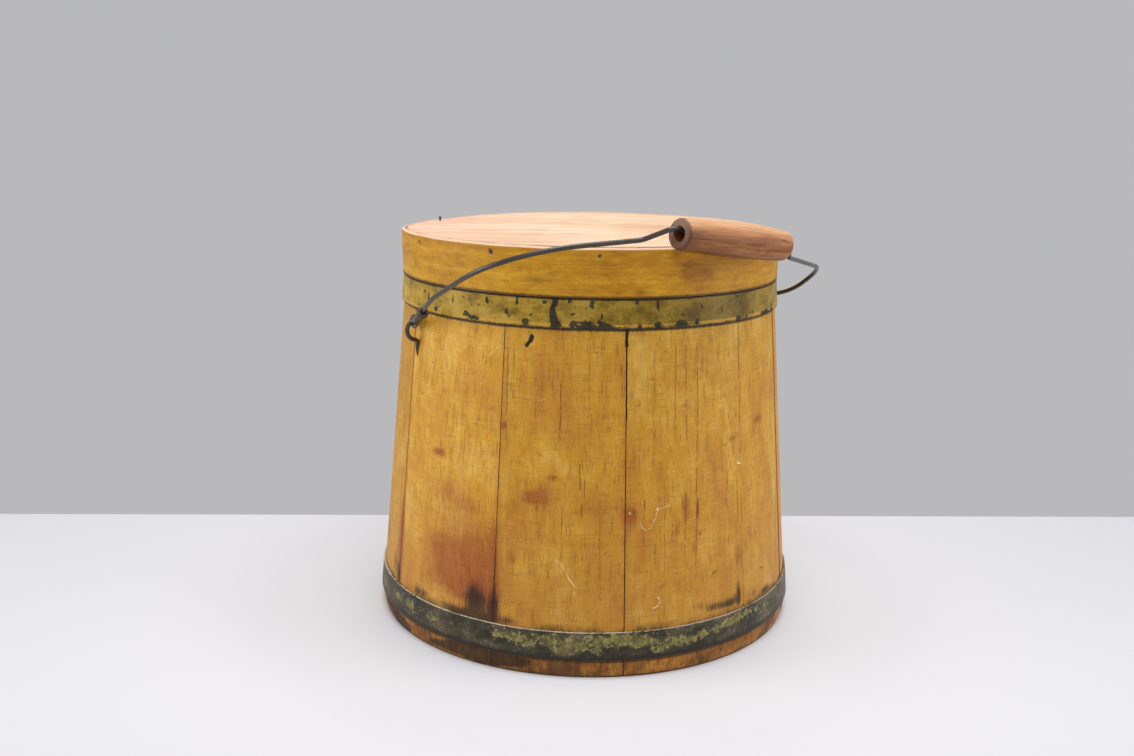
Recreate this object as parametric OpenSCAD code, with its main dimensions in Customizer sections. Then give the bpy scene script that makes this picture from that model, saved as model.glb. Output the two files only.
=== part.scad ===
// Mincemeat bucket: a small coopered pail with a bentwood lid and a wire bail.
// Millimetres, +Z up. The origin is on the pail's axis, in the plane of its foot.
// The two ears are on the X axis, and the bail rests toward -Y.

/* [Body] */
// Radius of the stave wall at the foot, before the foot is eased
foot_r = 155.6; // [150:0.1:162]
// Height of the stave wall
wall_h = 269.7; // [255:0.1:285]
// How far the wall leans in, per millimetre of height
wall_taper = 0.083; // [0.075:0.0005:0.09]
// Thickness of a stave
wall_t = 13; // [10:0.5:16]
// Angle of the first stave's first joint, from the -Y direction
first_joint = -93.2; // [-93.8:0.1:-92.6]
// Width of an open stave joint
joint_gap = 0.2; // [0.1:0.05:0.4]
// Height of the eased edge at the foot
foot_ease_h = 8; // [4:0.5:11]
// Depth of the eased edge at the foot
foot_ease = 2.2; // [1:0.1:3]

/* [Bottom] */
// Height of the bottom boards' underside above the foot
bottom_z = 18; // [12:0.5:30]
// Thickness of the bottom boards
bottom_t = 12; // [9:0.5:16]
// Depth of the groove that holds the bottom boards
croze_depth = 4; // [2.5:0.1:5]

/* [Hoops] */
// Width of a hoop
hoop_w = 19; // [14:0.5:24]
// Thickness of the hoop metal
hoop_t = 1.5; // [1:0.1:2]
// Height of the lower hoop's bottom edge
low_hoop_z = 13; // [12:0.5:30]
// Length of the lap where a hoop's ends are riveted
hoop_lap = 34; // [28:1:44]
// Diameter of a hoop rivet's head
rivet_d = 7; // [5:0.5:8]

/* [Lid] */
// Thickness of the lid's top board
lid_t = 13; // [10:0.5:15]
// Thickness of the bent rim
rim_t = 2.4; // [2:0.1:3]
// How far the rim comes down over the stave wall
rim_lap = 19.7; // [17:0.1:22]
// Height of the worn edge round the rim's top
rim_ease_h = 1.5; // [1:0.1:3]
// Width of the worn edge round the rim's top
rim_ease = 1.4; // [0.6:0.1:2]
// Gap that has opened between the lid's board and its rim
board_gap = 0.4; // [0.2:0.05:0.6]
// Number of nails that hold the rim to the board
rim_nails_n = 12; // [8:1:14]

/* [Ears] */
// Width of an ear's flat strip
ear_w = 4.5; // [4:0.1:6]
// Thickness of an ear's strip
ear_t = 2; // [1.6:0.1:2.2]
// Diameter of the round loop that carries the bail
loop_d = 3; // [2.6:0.1:3.2]
// Radius of the loop, to the middle of its rod
loop_ring_r = 5.5; // [5.4:0.1:6.2]
// Length of the pointed tail below the loop
tail_l = 15; // [10:0.5:18]

/* [Bail] */
// Diameter of the bail wire
wire_d = 3.2; // [2.8:0.1:3.6]
// Length of the turned grip
grip_l = 97; // [90:1:97]
// Diameter of the grip at its middle
grip_d = 22; // [18:0.5:22]
// Diameter of the grip at its ends
grip_end_d = 20; // [16:0.5:21]
// Diameter of the hole through the grip
grip_bore_d = 9.2; // [7:0.2:10]

/* [Fit] */
// Gap between pieces that lift or slide past each other
slide_gap = 0.3; // [0.3:0.05:0.5]
// Radial clearance of the bail's eyes and of the wire in the grip
turn_gap = 0.05; // [0.03:0.01:0.08]

/* [Hidden] */
$fn = 96;

// Angle that each stave takes, first one from the left ear toward the front
stave_arcs = [37.5, 33.5, 36.5, 25, 37.5, 38, 38, 38, 38, 38];

// Radius of the wall's outer face at height z
function wall_r(z) = foot_r - wall_taper * z;
function unit(v) = v / norm(v);
// Sum of the first n entries of a list
function sum_to(list, n) = n == 0 ? 0 : list[n - 1] + sum_to(list, n - 1);

// The lid's rim slips over the wall, just above the upper hoop
lid_bottom = wall_h + slide_gap;
lid_top = lid_bottom + lid_t;
rim_bottom = lid_bottom - rim_lap;
rim_inner_r = wall_r(rim_bottom) + slide_gap;
rim_r = rim_inner_r + rim_t;
high_hoop_z = rim_bottom - slide_gap - hoop_w;

// The bottom boards, as a disc in its groove
groove_fit = 0.1;
groove_r = wall_r(bottom_z) - wall_t + croze_depth;
bottom_r = groove_r - groove_fit;

// The hoops' lap is at the back of the pail
lap_azimuth = 168;
rivet_pitch = hoop_lap / 2;
rivet_shank_d = rivet_d / 2;

// The ears stand under the upper hoop
pivot_drop = 8;
pivot_z = high_hoop_z - pivot_drop;
tongue_l = 0.9 * hoop_w;
loop_r = loop_d / 2;
strap_fit = 0.1;
tail_tip_z = pivot_z - 2 * loop_ring_r - loop_r - tail_l;
spike_d = 1.8;
spike_l = 9;
spike_z = tail_tip_z + spike_d;

// The bail's eyes turn on the ears' loops
wire_r = wire_d / 2;
loop_reach = 2.6;
eye_x = wall_r(pivot_z) + ear_t + loop_reach;
eye_ring_r = loop_r + turn_gap + wire_r;
eye_wrap = 262;
bend_step = 9;

// The bail's corners, from the left ear to the right, from the middle of the line through both
// pivots, as shares of that line's half length
bail_shape = [
    [-1, 0, 0],
    [-1.068, -0.319, 0.152],
    [-1.027, -0.938, 0.432],
    [-0.365, -0.992, 0.465],
    [-0.289, -1.107, 0.523],
    [0.464, -1.013, 0.423],
    [0.483, -0.985, 0.346],
    [1.011, -0.653, 0.228],
    [1.025, -0.42, 0.074],
    [1, 0, 0]
];
bail_points = eye_x * bail_shape;
bail_bends = [0, 100, 60, 6, 6, 4.5, 4.5, 36, 90, 0];

// The grip hangs on the straight run between its two dog-legs
grip_a = bail_points[4];
grip_b = bail_points[5];
grip_dir = unit(grip_b - grip_a);
grip_down = unit(cross(grip_dir, cross([0, 0, -1], grip_dir)));
grip_drop = grip_bore_d / 2 - wire_r - turn_gap;
grip_mid = (grip_a + grip_b) / 2 + grip_down * grip_drop;
grip_round = 2.5;

// The lid's nails
rim_nail_d = 1.6;
rim_nail_head_d = 3.4;
rim_nail_l = 16;
rim_nail_sunk = 0.4;
rim_nail_proud = 0.2;
tack_l = rim_t - 0.7;
tack_head_h = 0.3;
rim_nail_drop = 5.5;
rim_nail_z = lid_top - rim_nail_drop;
first_rim_nail = -60;
tack_azimuth = 149;
lid_nail_at = (rim_inner_r - board_gap) * [-0.534, 0.779];
lid_nail_rise = 2;
lid_nail_l = 11;
lid_nail_head = [4, 0.7];

// Turns to the azimuth that is measured from -Y toward +X
module at_azimuth(a) {
    rotate([0, 0, a - 90]) children();
}

// Half section of the stave wall, with its groove and eased edges
module wall_section() {
    top_ease = 1.5;
    difference() {
        polygon([
            [wall_r(0) - foot_ease, 0],
            [wall_r(foot_ease_h), foot_ease_h],
            [wall_r(wall_h), wall_h],
            [wall_r(wall_h) - wall_t + top_ease, wall_h],
            [wall_r(wall_h - top_ease) - wall_t, wall_h - top_ease],
            [wall_r(0) - wall_t, 0]
        ]);
        translate([0, bottom_z]) square([groove_r, bottom_t + groove_fit]);
    }
}

// One stave, by its place in stave_arcs
module stave(i) {
    start = first_joint + sum_to(stave_arcs, i);
    half_gap = joint_gap / 2 / foot_r * 180 / PI;
    difference() {
        at_azimuth(start + half_gap)
            rotate_extrude(angle = stave_arcs[i] - 2 * half_gap) wall_section();
        children();
    }
}

// Places its children where the left ear is, or the right
module at_ear(side) {
    rotate([0, 0, side < 0 ? 180 : 0]) children();
}

// Outline of the strip from the side: a tongue under the hoop, a crank and a flat tail
module strap_side(extra) {
    crank_z = high_hoop_z - 1;
    crank_h = ear_t + 1;
    top_z = high_hoop_z + tongue_l + extra;
    polygon([
        [wall_r(tail_tip_z) - extra + strap_fit, tail_tip_z],
        [wall_r(tail_tip_z) + ear_t, tail_tip_z],
        [wall_r(crank_z - crank_h) + ear_t, crank_z - crank_h],
        [wall_r(crank_z) - strap_fit, crank_z],
        [wall_r(top_z) - strap_fit, top_z],
        [wall_r(top_z) - ear_t - strap_fit - extra, top_z],
        [wall_r(crank_z) - ear_t - strap_fit - extra, crank_z],
        [wall_r(crank_z - crank_h) - extra + strap_fit, crank_z - crank_h]
    ]);
}

// What an ear takes out of its stave: a recess for its tongue and a hole for its spike
module ear_seat(side) {
    w = ear_w + 2 * strap_fit;
    crank_room = 2;
    cut_z = high_hoop_z - crank_room - ear_t;
    at_ear(side) intersection() {
        rotate([90, 0, 0]) translate([0, 0, -w / 2]) linear_extrude(w) strap_side(strap_fit);
        translate([0, -w, cut_z]) cube([foot_r, 2 * w, wall_h - cut_z]);
    }
    ear_spike(side);
}

// The turned-in point of an ear's tail, driven into the stave
module ear_spike(side) {
    at_ear(side) translate([wall_r(spike_z) + ear_t / 2, 0, spike_z])
        rotate([0, -90, 0]) cylinder(h = spike_l, d = spike_d);
}

// The angle that a path turns through at corner q, on its way from p to s
function bend_turn(p, q, s) = 180 - acos(unit(p - q) * unit(s - q));

// Distance from a corner to where its bend begins
function bend_reach(p, q, s, bend_r) = bend_r * tan(bend_turn(p, q, s) / 2);

// Where the bend begins, and the middle of its circle
function bend_start(p, q, s, bend_r) = q + unit(p - q) * bend_reach(p, q, s, bend_r);
function bend_centre(p, q, s, bend_r) =
    q + unit(unit(p - q) + unit(s - q)) * bend_r / cos(bend_turn(p, q, s) / 2);

// Points round the bend at corner q
function bend_points(p, q, s, bend_r) =
    let (
        centre = bend_centre(p, q, s, bend_r),
        out = unit(bend_start(p, q, s, bend_r) - centre),
        along = unit(q - p),
        turn = bend_turn(p, q, s),
        steps = ceil(turn / bend_step) + 1
    )
    [for (k = [0:steps]) centre + bend_r * (out * cos(turn * k / steps) + along * sin(turn * k / steps))];

// Points round an eye in the plane x = centre.x, from its free end to where the stem to q leaves it
function eye_points(centre, q) =
    let (
        along = unit([0, q.y - centre.y, q.z - centre.z]),
        side = cross([1, 0, 0], along),
        steps = 15
    )
    [for (k = [steps:-1:0])
        centre + eye_ring_r * (side * cos(eye_wrap * k / steps) - along * sin(eye_wrap * k / steps))];

function reversed(list) = [for (i = [len(list) - 1:-1:0]) list[i]];
function last_of(list) = list[len(list) - 1];

// The direction of a path at its point i
function heading(path, i) = unit(path[min(i + 1, len(path) - 1)] - path[max(i - 1, 0)]);

// A round tube along a path, whose rings turn with the path and don't twist
module swept_tube(path, r, sides) {
    last = len(path) - 1;
    normals = [
        for (i = 0, n = unit(cross(heading(path, 0), [1, 0, 0])); i <= last;
            i = i + 1,
            n = i > last ? n : unit(n - heading(path, i) * (n * heading(path, i)))) n
    ];
    points = [
        for (i = [0:last], k = [0:sides - 1])
            path[i] + r * (normals[i] * cos(360 * k / sides)
                + cross(heading(path, i), normals[i]) * sin(360 * k / sides))
    ];
    walls = [
        for (i = [0:last - 1], k = [0:sides - 1])
            let (a = i * sides + k, b = i * sides + (k + 1) % sides)
                each [[a, b + sides, b], [a, a + sides, b + sides]]
    ];
    first_cap = [for (k = [0:sides - 1]) k];
    last_cap = [for (k = [sides - 1:-1:0]) last * sides + k];
    polyhedron(points, concat(walls, [first_cap, last_cap]));
}

// An iron ear: a strip with a pointed tail, and a round loop that stands out from it
module ear(side) {
    color([0.35, 0.36, 0.28]) {
        at_ear(side) {
            intersection() {
                rotate([90, 0, 0]) translate([0, 0, -ear_w / 2]) linear_extrude(ear_w) strap_side(0);
                rotate([90, 0, 90]) linear_extrude(foot_r) polygon([
                    [-spike_d / 2, tail_tip_z],
                    [spike_d / 2, tail_tip_z],
                    [ear_w / 2, tail_tip_z + tail_l],
                    [ear_w / 2, wall_h],
                    [-ear_w / 2, wall_h],
                    [-ear_w / 2, tail_tip_z + tail_l]
                ]);
            }
            intersection() {
                translate([eye_x, 0, pivot_z - loop_ring_r]) rotate([90, 0, 0])
                    rotate_extrude() translate([loop_ring_r, 0]) circle(r = loop_r);
                translate([wall_r(pivot_z) + ear_t / 2, -ear_w, 0]) cube([foot_r, 2 * ear_w, wall_h]);
            }
        }
        ear_spike(side);
    }
}

// A hoop from height z: two layers thick at its riveted lap, and one layer everywhere else
module hoop(z) {
    lap_angle = hoop_lap / wall_r(z) * 180 / PI;
    difference() {
        rotate_extrude() hoop_section(z, z + hoop_w, 0, 2 * hoop_t);
        at_azimuth(lap_azimuth + lap_angle / 2) rotate_extrude(angle = 360 - lap_angle)
            hoop_section(z - hoop_t, z + hoop_w + hoop_t, hoop_t, 3 * hoop_t);
        hoop_rivet_places(z) cylinder(h = 6 * hoop_t, d = rivet_shank_d, center = true);
    }
}

// Half section of a ring on the wall, from its inner to its outer distance from the wall
module hoop_section(low, high, inner, outer) {
    polygon([
        [wall_r(low) + inner, low],
        [wall_r(low) + outer, low],
        [wall_r(high) + outer, high],
        [wall_r(high) + inner, high]
    ]);
}

// Places its children on the lap's outer face, square to it
module hoop_rivet_places(z) {
    mid = z + hoop_w / 2;
    for (k = [-0.5, 0.5]) {
        at_azimuth(lap_azimuth + k * rivet_pitch / wall_r(mid) * 180 / PI)
            translate([wall_r(mid) + 2 * hoop_t, 0, mid])
                rotate([0, 90 - atan(wall_taper), 0]) children();
    }
}

// A hoop's two rivets, each a domed head on a shank that fills its hole
module hoop_rivets(z) {
    head_h = 1.6;
    dome_r = 5;
    seat = 0.1;
    hoop_rivet_places(z) {
        translate([0, 0, seat - 2 * hoop_t]) cylinder(h = 2 * hoop_t, d = rivet_shank_d);
        intersection() {
            translate([0, 0, seat]) cylinder(h = head_h, d = rivet_d);
            translate([0, 0, seat + head_h - dome_r]) sphere(r = dome_r);
        }
    }
}

// Half of the bottom disc, in front of the joint or behind it
module bottom_board(back) {
    reach = 2 * foot_r;
    front_edge = back ? joint_gap / 2 : -joint_gap / 2 - reach;
    translate([0, 0, bottom_z]) intersection() {
        cylinder(h = bottom_t, r = bottom_r);
        translate([-reach, front_edge, 0]) cube([2 * reach, reach, bottom_t]);
    }
}

// The lid's one board, a disc that sits within the rim
module lid_board() {
    color([0.83, 0.70, 0.58]) difference() {
        translate([0, 0, lid_bottom]) cylinder(h = lid_t, r = rim_inner_r - board_gap);
        rim_nail_shanks();
        lid_nail_shank();
    }
}

// The shanks of the rim's nails
module rim_nail_shanks() {
    for (i = [0:rim_nails_n - 1]) {
        at_azimuth(first_rim_nail + i * 360 / rim_nails_n)
            translate([rim_r - rim_nail_sunk / 4, 0, rim_nail_z])
                rotate([0, -90, 0]) cylinder(h = rim_nail_l, d = rim_nail_d);
    }
}

// The heads of the rim's nails, on the rim's face
module rim_nail_heads() {
    for (i = [0:rim_nails_n - 1]) {
        at_azimuth(first_rim_nail + i * 360 / rim_nails_n)
            translate([rim_r - rim_nail_sunk, 0, rim_nail_z]) rotate([0, 90, 0])
                cylinder(h = rim_nail_sunk + rim_nail_proud, d = rim_nail_head_d);
    }
}

// The shank of the nail that has risen from the lid's top
module lid_nail_shank() {
    translate([lid_nail_at.x, lid_nail_at.y, lid_top + lid_nail_rise - lid_nail_l])
        cylinder(h = lid_nail_l, d = rim_nail_d);
}

// Tacks that hold the rim's lapped ends, two rows of two
module lap_tacks() {
    first_row = 6;
    row_pitch = 10;
    first_column = 3;
    column_pitch = 7;
    for (k = [0, 1], row = [0, 1]) {
        at_azimuth(tack_azimuth + first_column + column_pitch * k)
            translate([rim_r, 0, rim_bottom + first_row + row_pitch * row]) rotate([0, -90, 0]) children();
    }
}

module stave_01() { color([0.72, 0.52, 0.24]) stave(0) ear_seat(-1); }
module stave_02() { color([0.74, 0.54, 0.25]) stave(1); }
module stave_03() { color([0.73, 0.53, 0.25]) stave(2); }
module stave_04() { color([0.75, 0.54, 0.24]) stave(3); }
module stave_05() { color([0.74, 0.53, 0.25]) stave(4); }
module stave_06() { color([0.73, 0.52, 0.24]) stave(5) ear_seat(1); }
module stave_07() { color([0.72, 0.52, 0.24]) stave(6); }
module stave_08() { color([0.74, 0.54, 0.26]) stave(7); }
module stave_09() { color([0.73, 0.53, 0.25]) stave(8); }
module stave_10() { color([0.70, 0.50, 0.23]) stave(9); }

module bottom_board_front() { color([0.70, 0.55, 0.36]) bottom_board(false); }
module bottom_board_back() { color([0.68, 0.53, 0.35]) bottom_board(true); }
module top_hoop() { color([0.55, 0.52, 0.24]) hoop(high_hoop_z); }
module bottom_hoop() { color([0.36, 0.38, 0.30]) hoop(low_hoop_z); }
module top_hoop_rivets() { color([0.45, 0.43, 0.25]) hoop_rivets(high_hoop_z); }
module bottom_hoop_rivets() { color([0.30, 0.31, 0.27]) hoop_rivets(low_hoop_z); }
module left_ear() { ear(-1); }
module right_ear() { ear(1); }

// The bail: one length of wire, bent by hand, with a closed eye at each end
module bail_wire() {
    last = len(bail_points) - 1;
    left_eye = eye_points(bail_points[0], bail_points[1]);
    right_eye = eye_points(last_of(bail_points), bail_points[last - 1]);
    corners = concat([last_of(left_eye)], [for (i = [1:last - 1]) bail_points[i]], [last_of(right_eye)]);
    bends = [
        for (i = [1:last - 1])
            each bend_points(corners[i - 1], corners[i], corners[i + 1], bail_bends[i])
    ];
    color([0.25, 0.25, 0.26]) translate([0, 0, pivot_z])
        swept_tube(concat(left_eye, bends, reversed(right_eye)), wire_r, 12);
}

// The turned grip, with a loose hole for the wire
module bail_grip() {
    half = grip_l / 2;
    color([0.47, 0.27, 0.16]) translate([0, 0, pivot_z] + grip_mid)
        rotate([0, acos(grip_dir.z), atan2(grip_dir.y, grip_dir.x)])
            rotate_extrude() difference() {
                polygon([
                    [0, -half],
                    [grip_end_d / 2 - grip_round / 2, -half],
                    [grip_end_d / 2, -half + grip_round],
                    [grip_d / 2 - 0.3, -half / 2],
                    [grip_d / 2, 0],
                    [grip_d / 2 - 0.3, half / 2],
                    [grip_end_d / 2, half - grip_round],
                    [grip_end_d / 2 - grip_round / 2, half],
                    [0, half]
                ]);
                translate([0, -grip_l]) square([grip_bore_d / 2, 2 * grip_l]);
            }
}

// The bent rim, with the end of its lap showing as a fine groove
module lid_rim() {
    groove_w = 0.6;
    groove_d = 0.6;
    color([0.76, 0.58, 0.30]) difference() {
        rotate_extrude() polygon([
            [rim_inner_r, rim_bottom],
            [rim_r, rim_bottom],
            [rim_r, lid_top - rim_ease_h],
            [rim_r - rim_ease, lid_top],
            [rim_inner_r, lid_top]
        ]);
        at_azimuth(tack_azimuth)
            translate([rim_r - groove_d, -groove_w / 2, 0]) cube([rim_t, groove_w, 2 * lid_top]);
        rim_nail_shanks();
        rim_nail_heads();
        lap_tacks() translate([0, 0, -rim_t]) cylinder(h = rim_t + tack_l, d = rim_nail_d);
    }
}

module lid_rim_nails() {
    color([0.3, 0.26, 0.22]) {
        rim_nail_shanks();
        rim_nail_heads();
    }
}

module lid_rim_lap_tacks() {
    color([0.3, 0.26, 0.22]) lap_tacks() {
        cylinder(h = tack_l, d = rim_nail_d);
        translate([0, 0, -tack_head_h]) cylinder(h = tack_head_h, d = rim_nail_head_d);
    }
}

module lid_top_nail() {
    color([0.25, 0.22, 0.2]) {
        lid_nail_shank();
        translate([lid_nail_at.x, lid_nail_at.y, lid_top + lid_nail_rise])
            cylinder(h = lid_nail_head[1], d = lid_nail_head[0]);
    }
}

stave_01();
stave_02();
stave_03();
stave_04();
stave_05();
stave_06();
stave_07();
stave_08();
stave_09();
stave_10();
bottom_board_front();
bottom_board_back();
top_hoop();
bottom_hoop();
top_hoop_rivets();
bottom_hoop_rivets();
left_ear();
right_ear();
bail_wire();
bail_grip();
lid_board();
lid_rim();
lid_rim_nails();
lid_rim_lap_tacks();
lid_top_nail();
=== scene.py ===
# %% [markdown]
# # An old mincemeat bucket
# The bucket is coopered: ten tapered staves stand in a ring, and two iron hoops squeeze them tight.
# A bentwood lid slips over the top, and a wire bail with a turned grip hangs from two wire ears.
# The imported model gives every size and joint, so this script only dresses it: each visible piece
# gets a finer shape, worked out with numpy, and a material built from nodes.

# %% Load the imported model
import math
import bpy
import numpy as np
from mathutils import Matrix, Vector


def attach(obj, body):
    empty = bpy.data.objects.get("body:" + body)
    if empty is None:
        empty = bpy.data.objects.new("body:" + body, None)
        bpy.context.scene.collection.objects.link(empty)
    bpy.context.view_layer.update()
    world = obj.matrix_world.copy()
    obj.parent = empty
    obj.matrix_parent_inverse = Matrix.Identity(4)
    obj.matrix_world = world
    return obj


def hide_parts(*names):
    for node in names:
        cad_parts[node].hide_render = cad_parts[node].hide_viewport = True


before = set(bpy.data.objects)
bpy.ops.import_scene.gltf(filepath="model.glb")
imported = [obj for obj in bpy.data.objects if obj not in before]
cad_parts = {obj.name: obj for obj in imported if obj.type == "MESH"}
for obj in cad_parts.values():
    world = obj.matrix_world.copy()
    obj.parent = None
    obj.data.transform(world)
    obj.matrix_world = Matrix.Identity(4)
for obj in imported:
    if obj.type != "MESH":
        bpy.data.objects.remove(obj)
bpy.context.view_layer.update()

# %% [markdown]
# ## The camera
# A camera is fitted when the hoops' ellipses and the wall's two edges fall on the picture. The fit
# gives the focal length in pixels, the camera's distance and height, and its three small turns.
# The picture's middle is turned from the model's front, because the ears lie on the X axis.

# %% Camera
PICTURE_W, PICTURE_H = 1134, 756
FOCAL_PX = 1193.4
CAMERA_BACK, CAMERA_UP = 0.8804, 0.3667
PITCH, YAW, ROLL = (math.radians(a) for a in (12.708, -1.014, 0.929))
PICTURE_TURN = math.radians(32.5)
SENSOR_MM = 36


def to_model(v):
    """Turns a direction or point of the picture's frame by -PICTURE_TURN about Z."""
    c, s = math.cos(PICTURE_TURN), math.sin(PICTURE_TURN)
    return Vector((c * v[0] + s * v[1], -s * v[0] + c * v[1], v[2]))


forward = Vector((math.sin(YAW) * math.cos(PITCH), math.cos(YAW) * math.cos(PITCH), -math.sin(PITCH)))
level = Vector((math.cos(YAW), -math.sin(YAW), 0))
upward = level.cross(forward)
right_side = to_model(math.cos(ROLL) * level + math.sin(ROLL) * upward)
top_side = to_model(math.cos(ROLL) * upward - math.sin(ROLL) * level)
forward = to_model(forward)
eye = to_model((0, -CAMERA_BACK, CAMERA_UP))

camera = bpy.data.objects.new("camera", bpy.data.cameras.new("camera"))
bpy.context.scene.collection.objects.link(camera)
bpy.context.scene.camera = camera
camera.data.sensor_width = SENSOR_MM
camera.data.lens = FOCAL_PX / PICTURE_W * SENSOR_MM
turn = Matrix((right_side, top_side, -forward)).transposed().to_4x4()
camera.matrix_world = Matrix.Translation(eye) @ turn
print("camera at", [round(x, 3) for x in eye], "lens", round(camera.data.lens, 2), "mm")

# %% [markdown]
# ## Places on the wall
# Every stain and scratch is written as the pixel where it is seen. A ray from the camera through
# that pixel meets the leaning wall, a cone, in one equation of the second degree.

# %% Rays and the wall
WALL_FOOT_R, WALL_TAPER = 0.1556, 0.083
WALL_TOP, WALL_THICK = 0.2697, 0.013
RIM_IN_R, RIM_R = 0.1351, 0.1375
ARC_R = 0.148


def wall_r(z):
    """Radius of the wall's outer face at height z: the foot's radius less the taper times z."""
    return WALL_FOOT_R - WALL_TAPER * z


def sight(px, py):
    """Direction of the ray from the eye through a pixel."""
    return forward + right_side * ((px - PICTURE_W / 2) / FOCAL_PX) - top_side * ((py - PICTURE_H / 2) / FOCAL_PX)


def seen_at(px, py, foot_r=WALL_FOOT_R, taper=WALL_TAPER):
    """Azimuth in radians and height where the ray through a pixel first meets a cone."""
    ray = sight(px, py)
    r0 = foot_r - taper * eye.z
    a = ray.x ** 2 + ray.y ** 2 - (taper * ray.z) ** 2
    b = eye.x * ray.x + eye.y * ray.y + taper * ray.z * r0
    c = eye.x ** 2 + eye.y ** 2 - r0 ** 2
    t = (-b - math.sqrt(max(b * b - a * c, 0))) / a
    p = eye + ray * t
    return math.atan2(p.x, -p.y), p.z


print("middle seam seen at", [round(x, 3) for x in seen_at(626, 450)])

# %% [markdown]
# ## Surfaces as arrays
# A bucket is made of closed shapes that repeat one idea: a closed section carried along a path.
# One function joins such a grid of points into quads, and a signed volume tells whether the
# faces point outwards.

# %% Grids to meshes

def grid_faces(rows, cols, ring, start):
    """Quads of a grid whose columns always wrap round, and whose rows wrap when it is a ring."""
    r = np.arange(rows if ring else rows - 1)[:, None]
    c = np.arange(cols)[None, :]
    r2, c2 = (r + 1) % rows, (c + 1) % cols
    return start + np.stack([r * cols + c, r2 * cols + c, r2 * cols + c2, r * cols + c2], -1).reshape(-1, 4)


def make_piece(name, shells, body, slot, nodes, facts=None, crease=38):
    """Builds one object from shells, each a (grid, ring) pair, hangs it on its body and hides the imported parts it
    replaces.
    """
    points, faces = [], []
    start = 0
    for grid, ring in shells:
        rows, cols = grid.shape[:2]
        flat = grid.reshape(-1, 3)
        quads = grid_faces(rows, cols, ring, start)
        corners = flat[quads - start]
        volume = np.einsum("ij,ij->", corners[:, 0], np.cross(corners[:, 1], corners[:, 2]))
        volume += np.einsum("ij,ij->", corners[:, 0], np.cross(corners[:, 2], corners[:, 3]))
        step = 1 if volume > 0 else -1
        faces += quads[:, ::step].tolist()
        if not ring:
            ends = [np.arange(cols)[::-1], (rows - 1) * cols + np.arange(cols)]
            faces += [(start + end[::-step]).tolist() for end in ends]
        points.append(flat)
        start += len(flat)
    mesh = bpy.data.meshes.new(name)
    mesh.from_pydata(np.concatenate(points).tolist(), [], faces)
    for fact, values in (facts or {}).items():
        vector = values.ndim == 3
        layer = mesh.attributes.new(fact, "FLOAT_VECTOR" if vector else "FLOAT", "POINT")
        layer.data.foreach_set("vector" if vector else "value", np.ascontiguousarray(values, np.float32).ravel())
    mesh.shade_smooth()
    mesh.set_sharp_from_angle(angle=math.radians(crease))
    piece = bpy.data.objects.new(name, mesh)
    bpy.context.scene.collection.objects.link(piece)
    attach(piece, body)
    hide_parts(*nodes)
    return piece


def around(azimuth, r, z):
    """Points at an azimuth from -Y toward +X: x = r sin a, y = -r cos a."""
    azimuth, r, z = np.broadcast_arrays(azimuth, r, z)
    return np.stack([r * np.sin(azimuth), -r * np.cos(azimuth), z], -1)


def picture_axes(grid):
    """The grid's distances from the middle toward the picture's right and toward its back."""
    c, s = math.cos(PICTURE_TURN), math.sin(PICTURE_TURN)
    return grid[..., 0] * c - grid[..., 1] * s, grid[..., 0] * s + grid[..., 1] * c


def ripple(x, y, waves, seed):
    """Smooth unevenness between -1 and 1: the mean of sines whose directions and phases are drawn."""
    draw = np.random.default_rng(seed)
    total = 0
    for k in range(5):
        a, b, phase = draw.normal(0, 1, 2).tolist() + [draw.uniform(0, 2 * math.pi)]
        total = total + np.sin(waves[0] * a * x + waves[1] * b * y + phase)
    return total / 5


def unit(v):
    return v / np.linalg.norm(v, axis=-1, keepdims=True)


def tube(path, radius, across, sides=14):
    """A circle carried along a path: each side is the last one less its part along the path."""
    along = unit(np.gradient(path, axis=0))
    side = [unit(np.cross(along[0], across))]
    for way in along[1:]:
        side.append(unit(side[-1] - way * (side[-1] @ way)))
    side = np.array(side)
    other = np.cross(along, side)
    turn = np.linspace(0, 2 * math.pi, sides, endpoint=False)
    radius = np.broadcast_to(radius, len(path))[:, None, None]
    ring = np.cos(turn)[:, None] * side[:, None] + np.sin(turn)[:, None] * other[:, None]
    return path[:, None] + radius * ring


def round_ends(path, radius, blunt):
    """Radii along a path that shrink to a point at both ends, as a circle's height does."""
    far = np.concatenate([[0], np.cumsum(np.linalg.norm(np.diff(path, axis=0), axis=1))])
    near_end = np.clip(np.minimum(far, far[-1] - far) / blunt, 0.0, 1)
    return radius * np.sqrt(np.clip(1 - (1 - near_end) ** 2, 0.01, 1))


print("helpers ready")

# %% [markdown]
# ## Lights and ground
# Soft light comes from a large lamp over the bucket, weaker ones in front and at both sides, and
# the sky. The sky that the camera sees is plain grey, and so is the ground far behind, so that the
# pale table ends in one level line just behind the bucket. Far out it fades into that grey.

# %% Shader sockets as numbers


class Socket:
    """An output of a node, on which + - * / add Math nodes."""

    def __init__(self, finish, out):
        self.finish, self.out = finish, out

    def maths(self, operation, *values):
        return self.finish.node("ShaderNodeMath", {"operation": operation}, dict(enumerate(values)))

    def __add__(self, other):
        return self.maths("ADD", self, other)

    def __sub__(self, other):
        return self.maths("SUBTRACT", self, other)

    def __rsub__(self, other):
        return self.maths("SUBTRACT", other, self)

    def __mul__(self, other):
        return self.maths("MULTIPLY", self, other)

    def __truediv__(self, other):
        return self.maths("DIVIDE", self, other)

    __radd__, __rmul__ = __add__, __mul__


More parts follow.
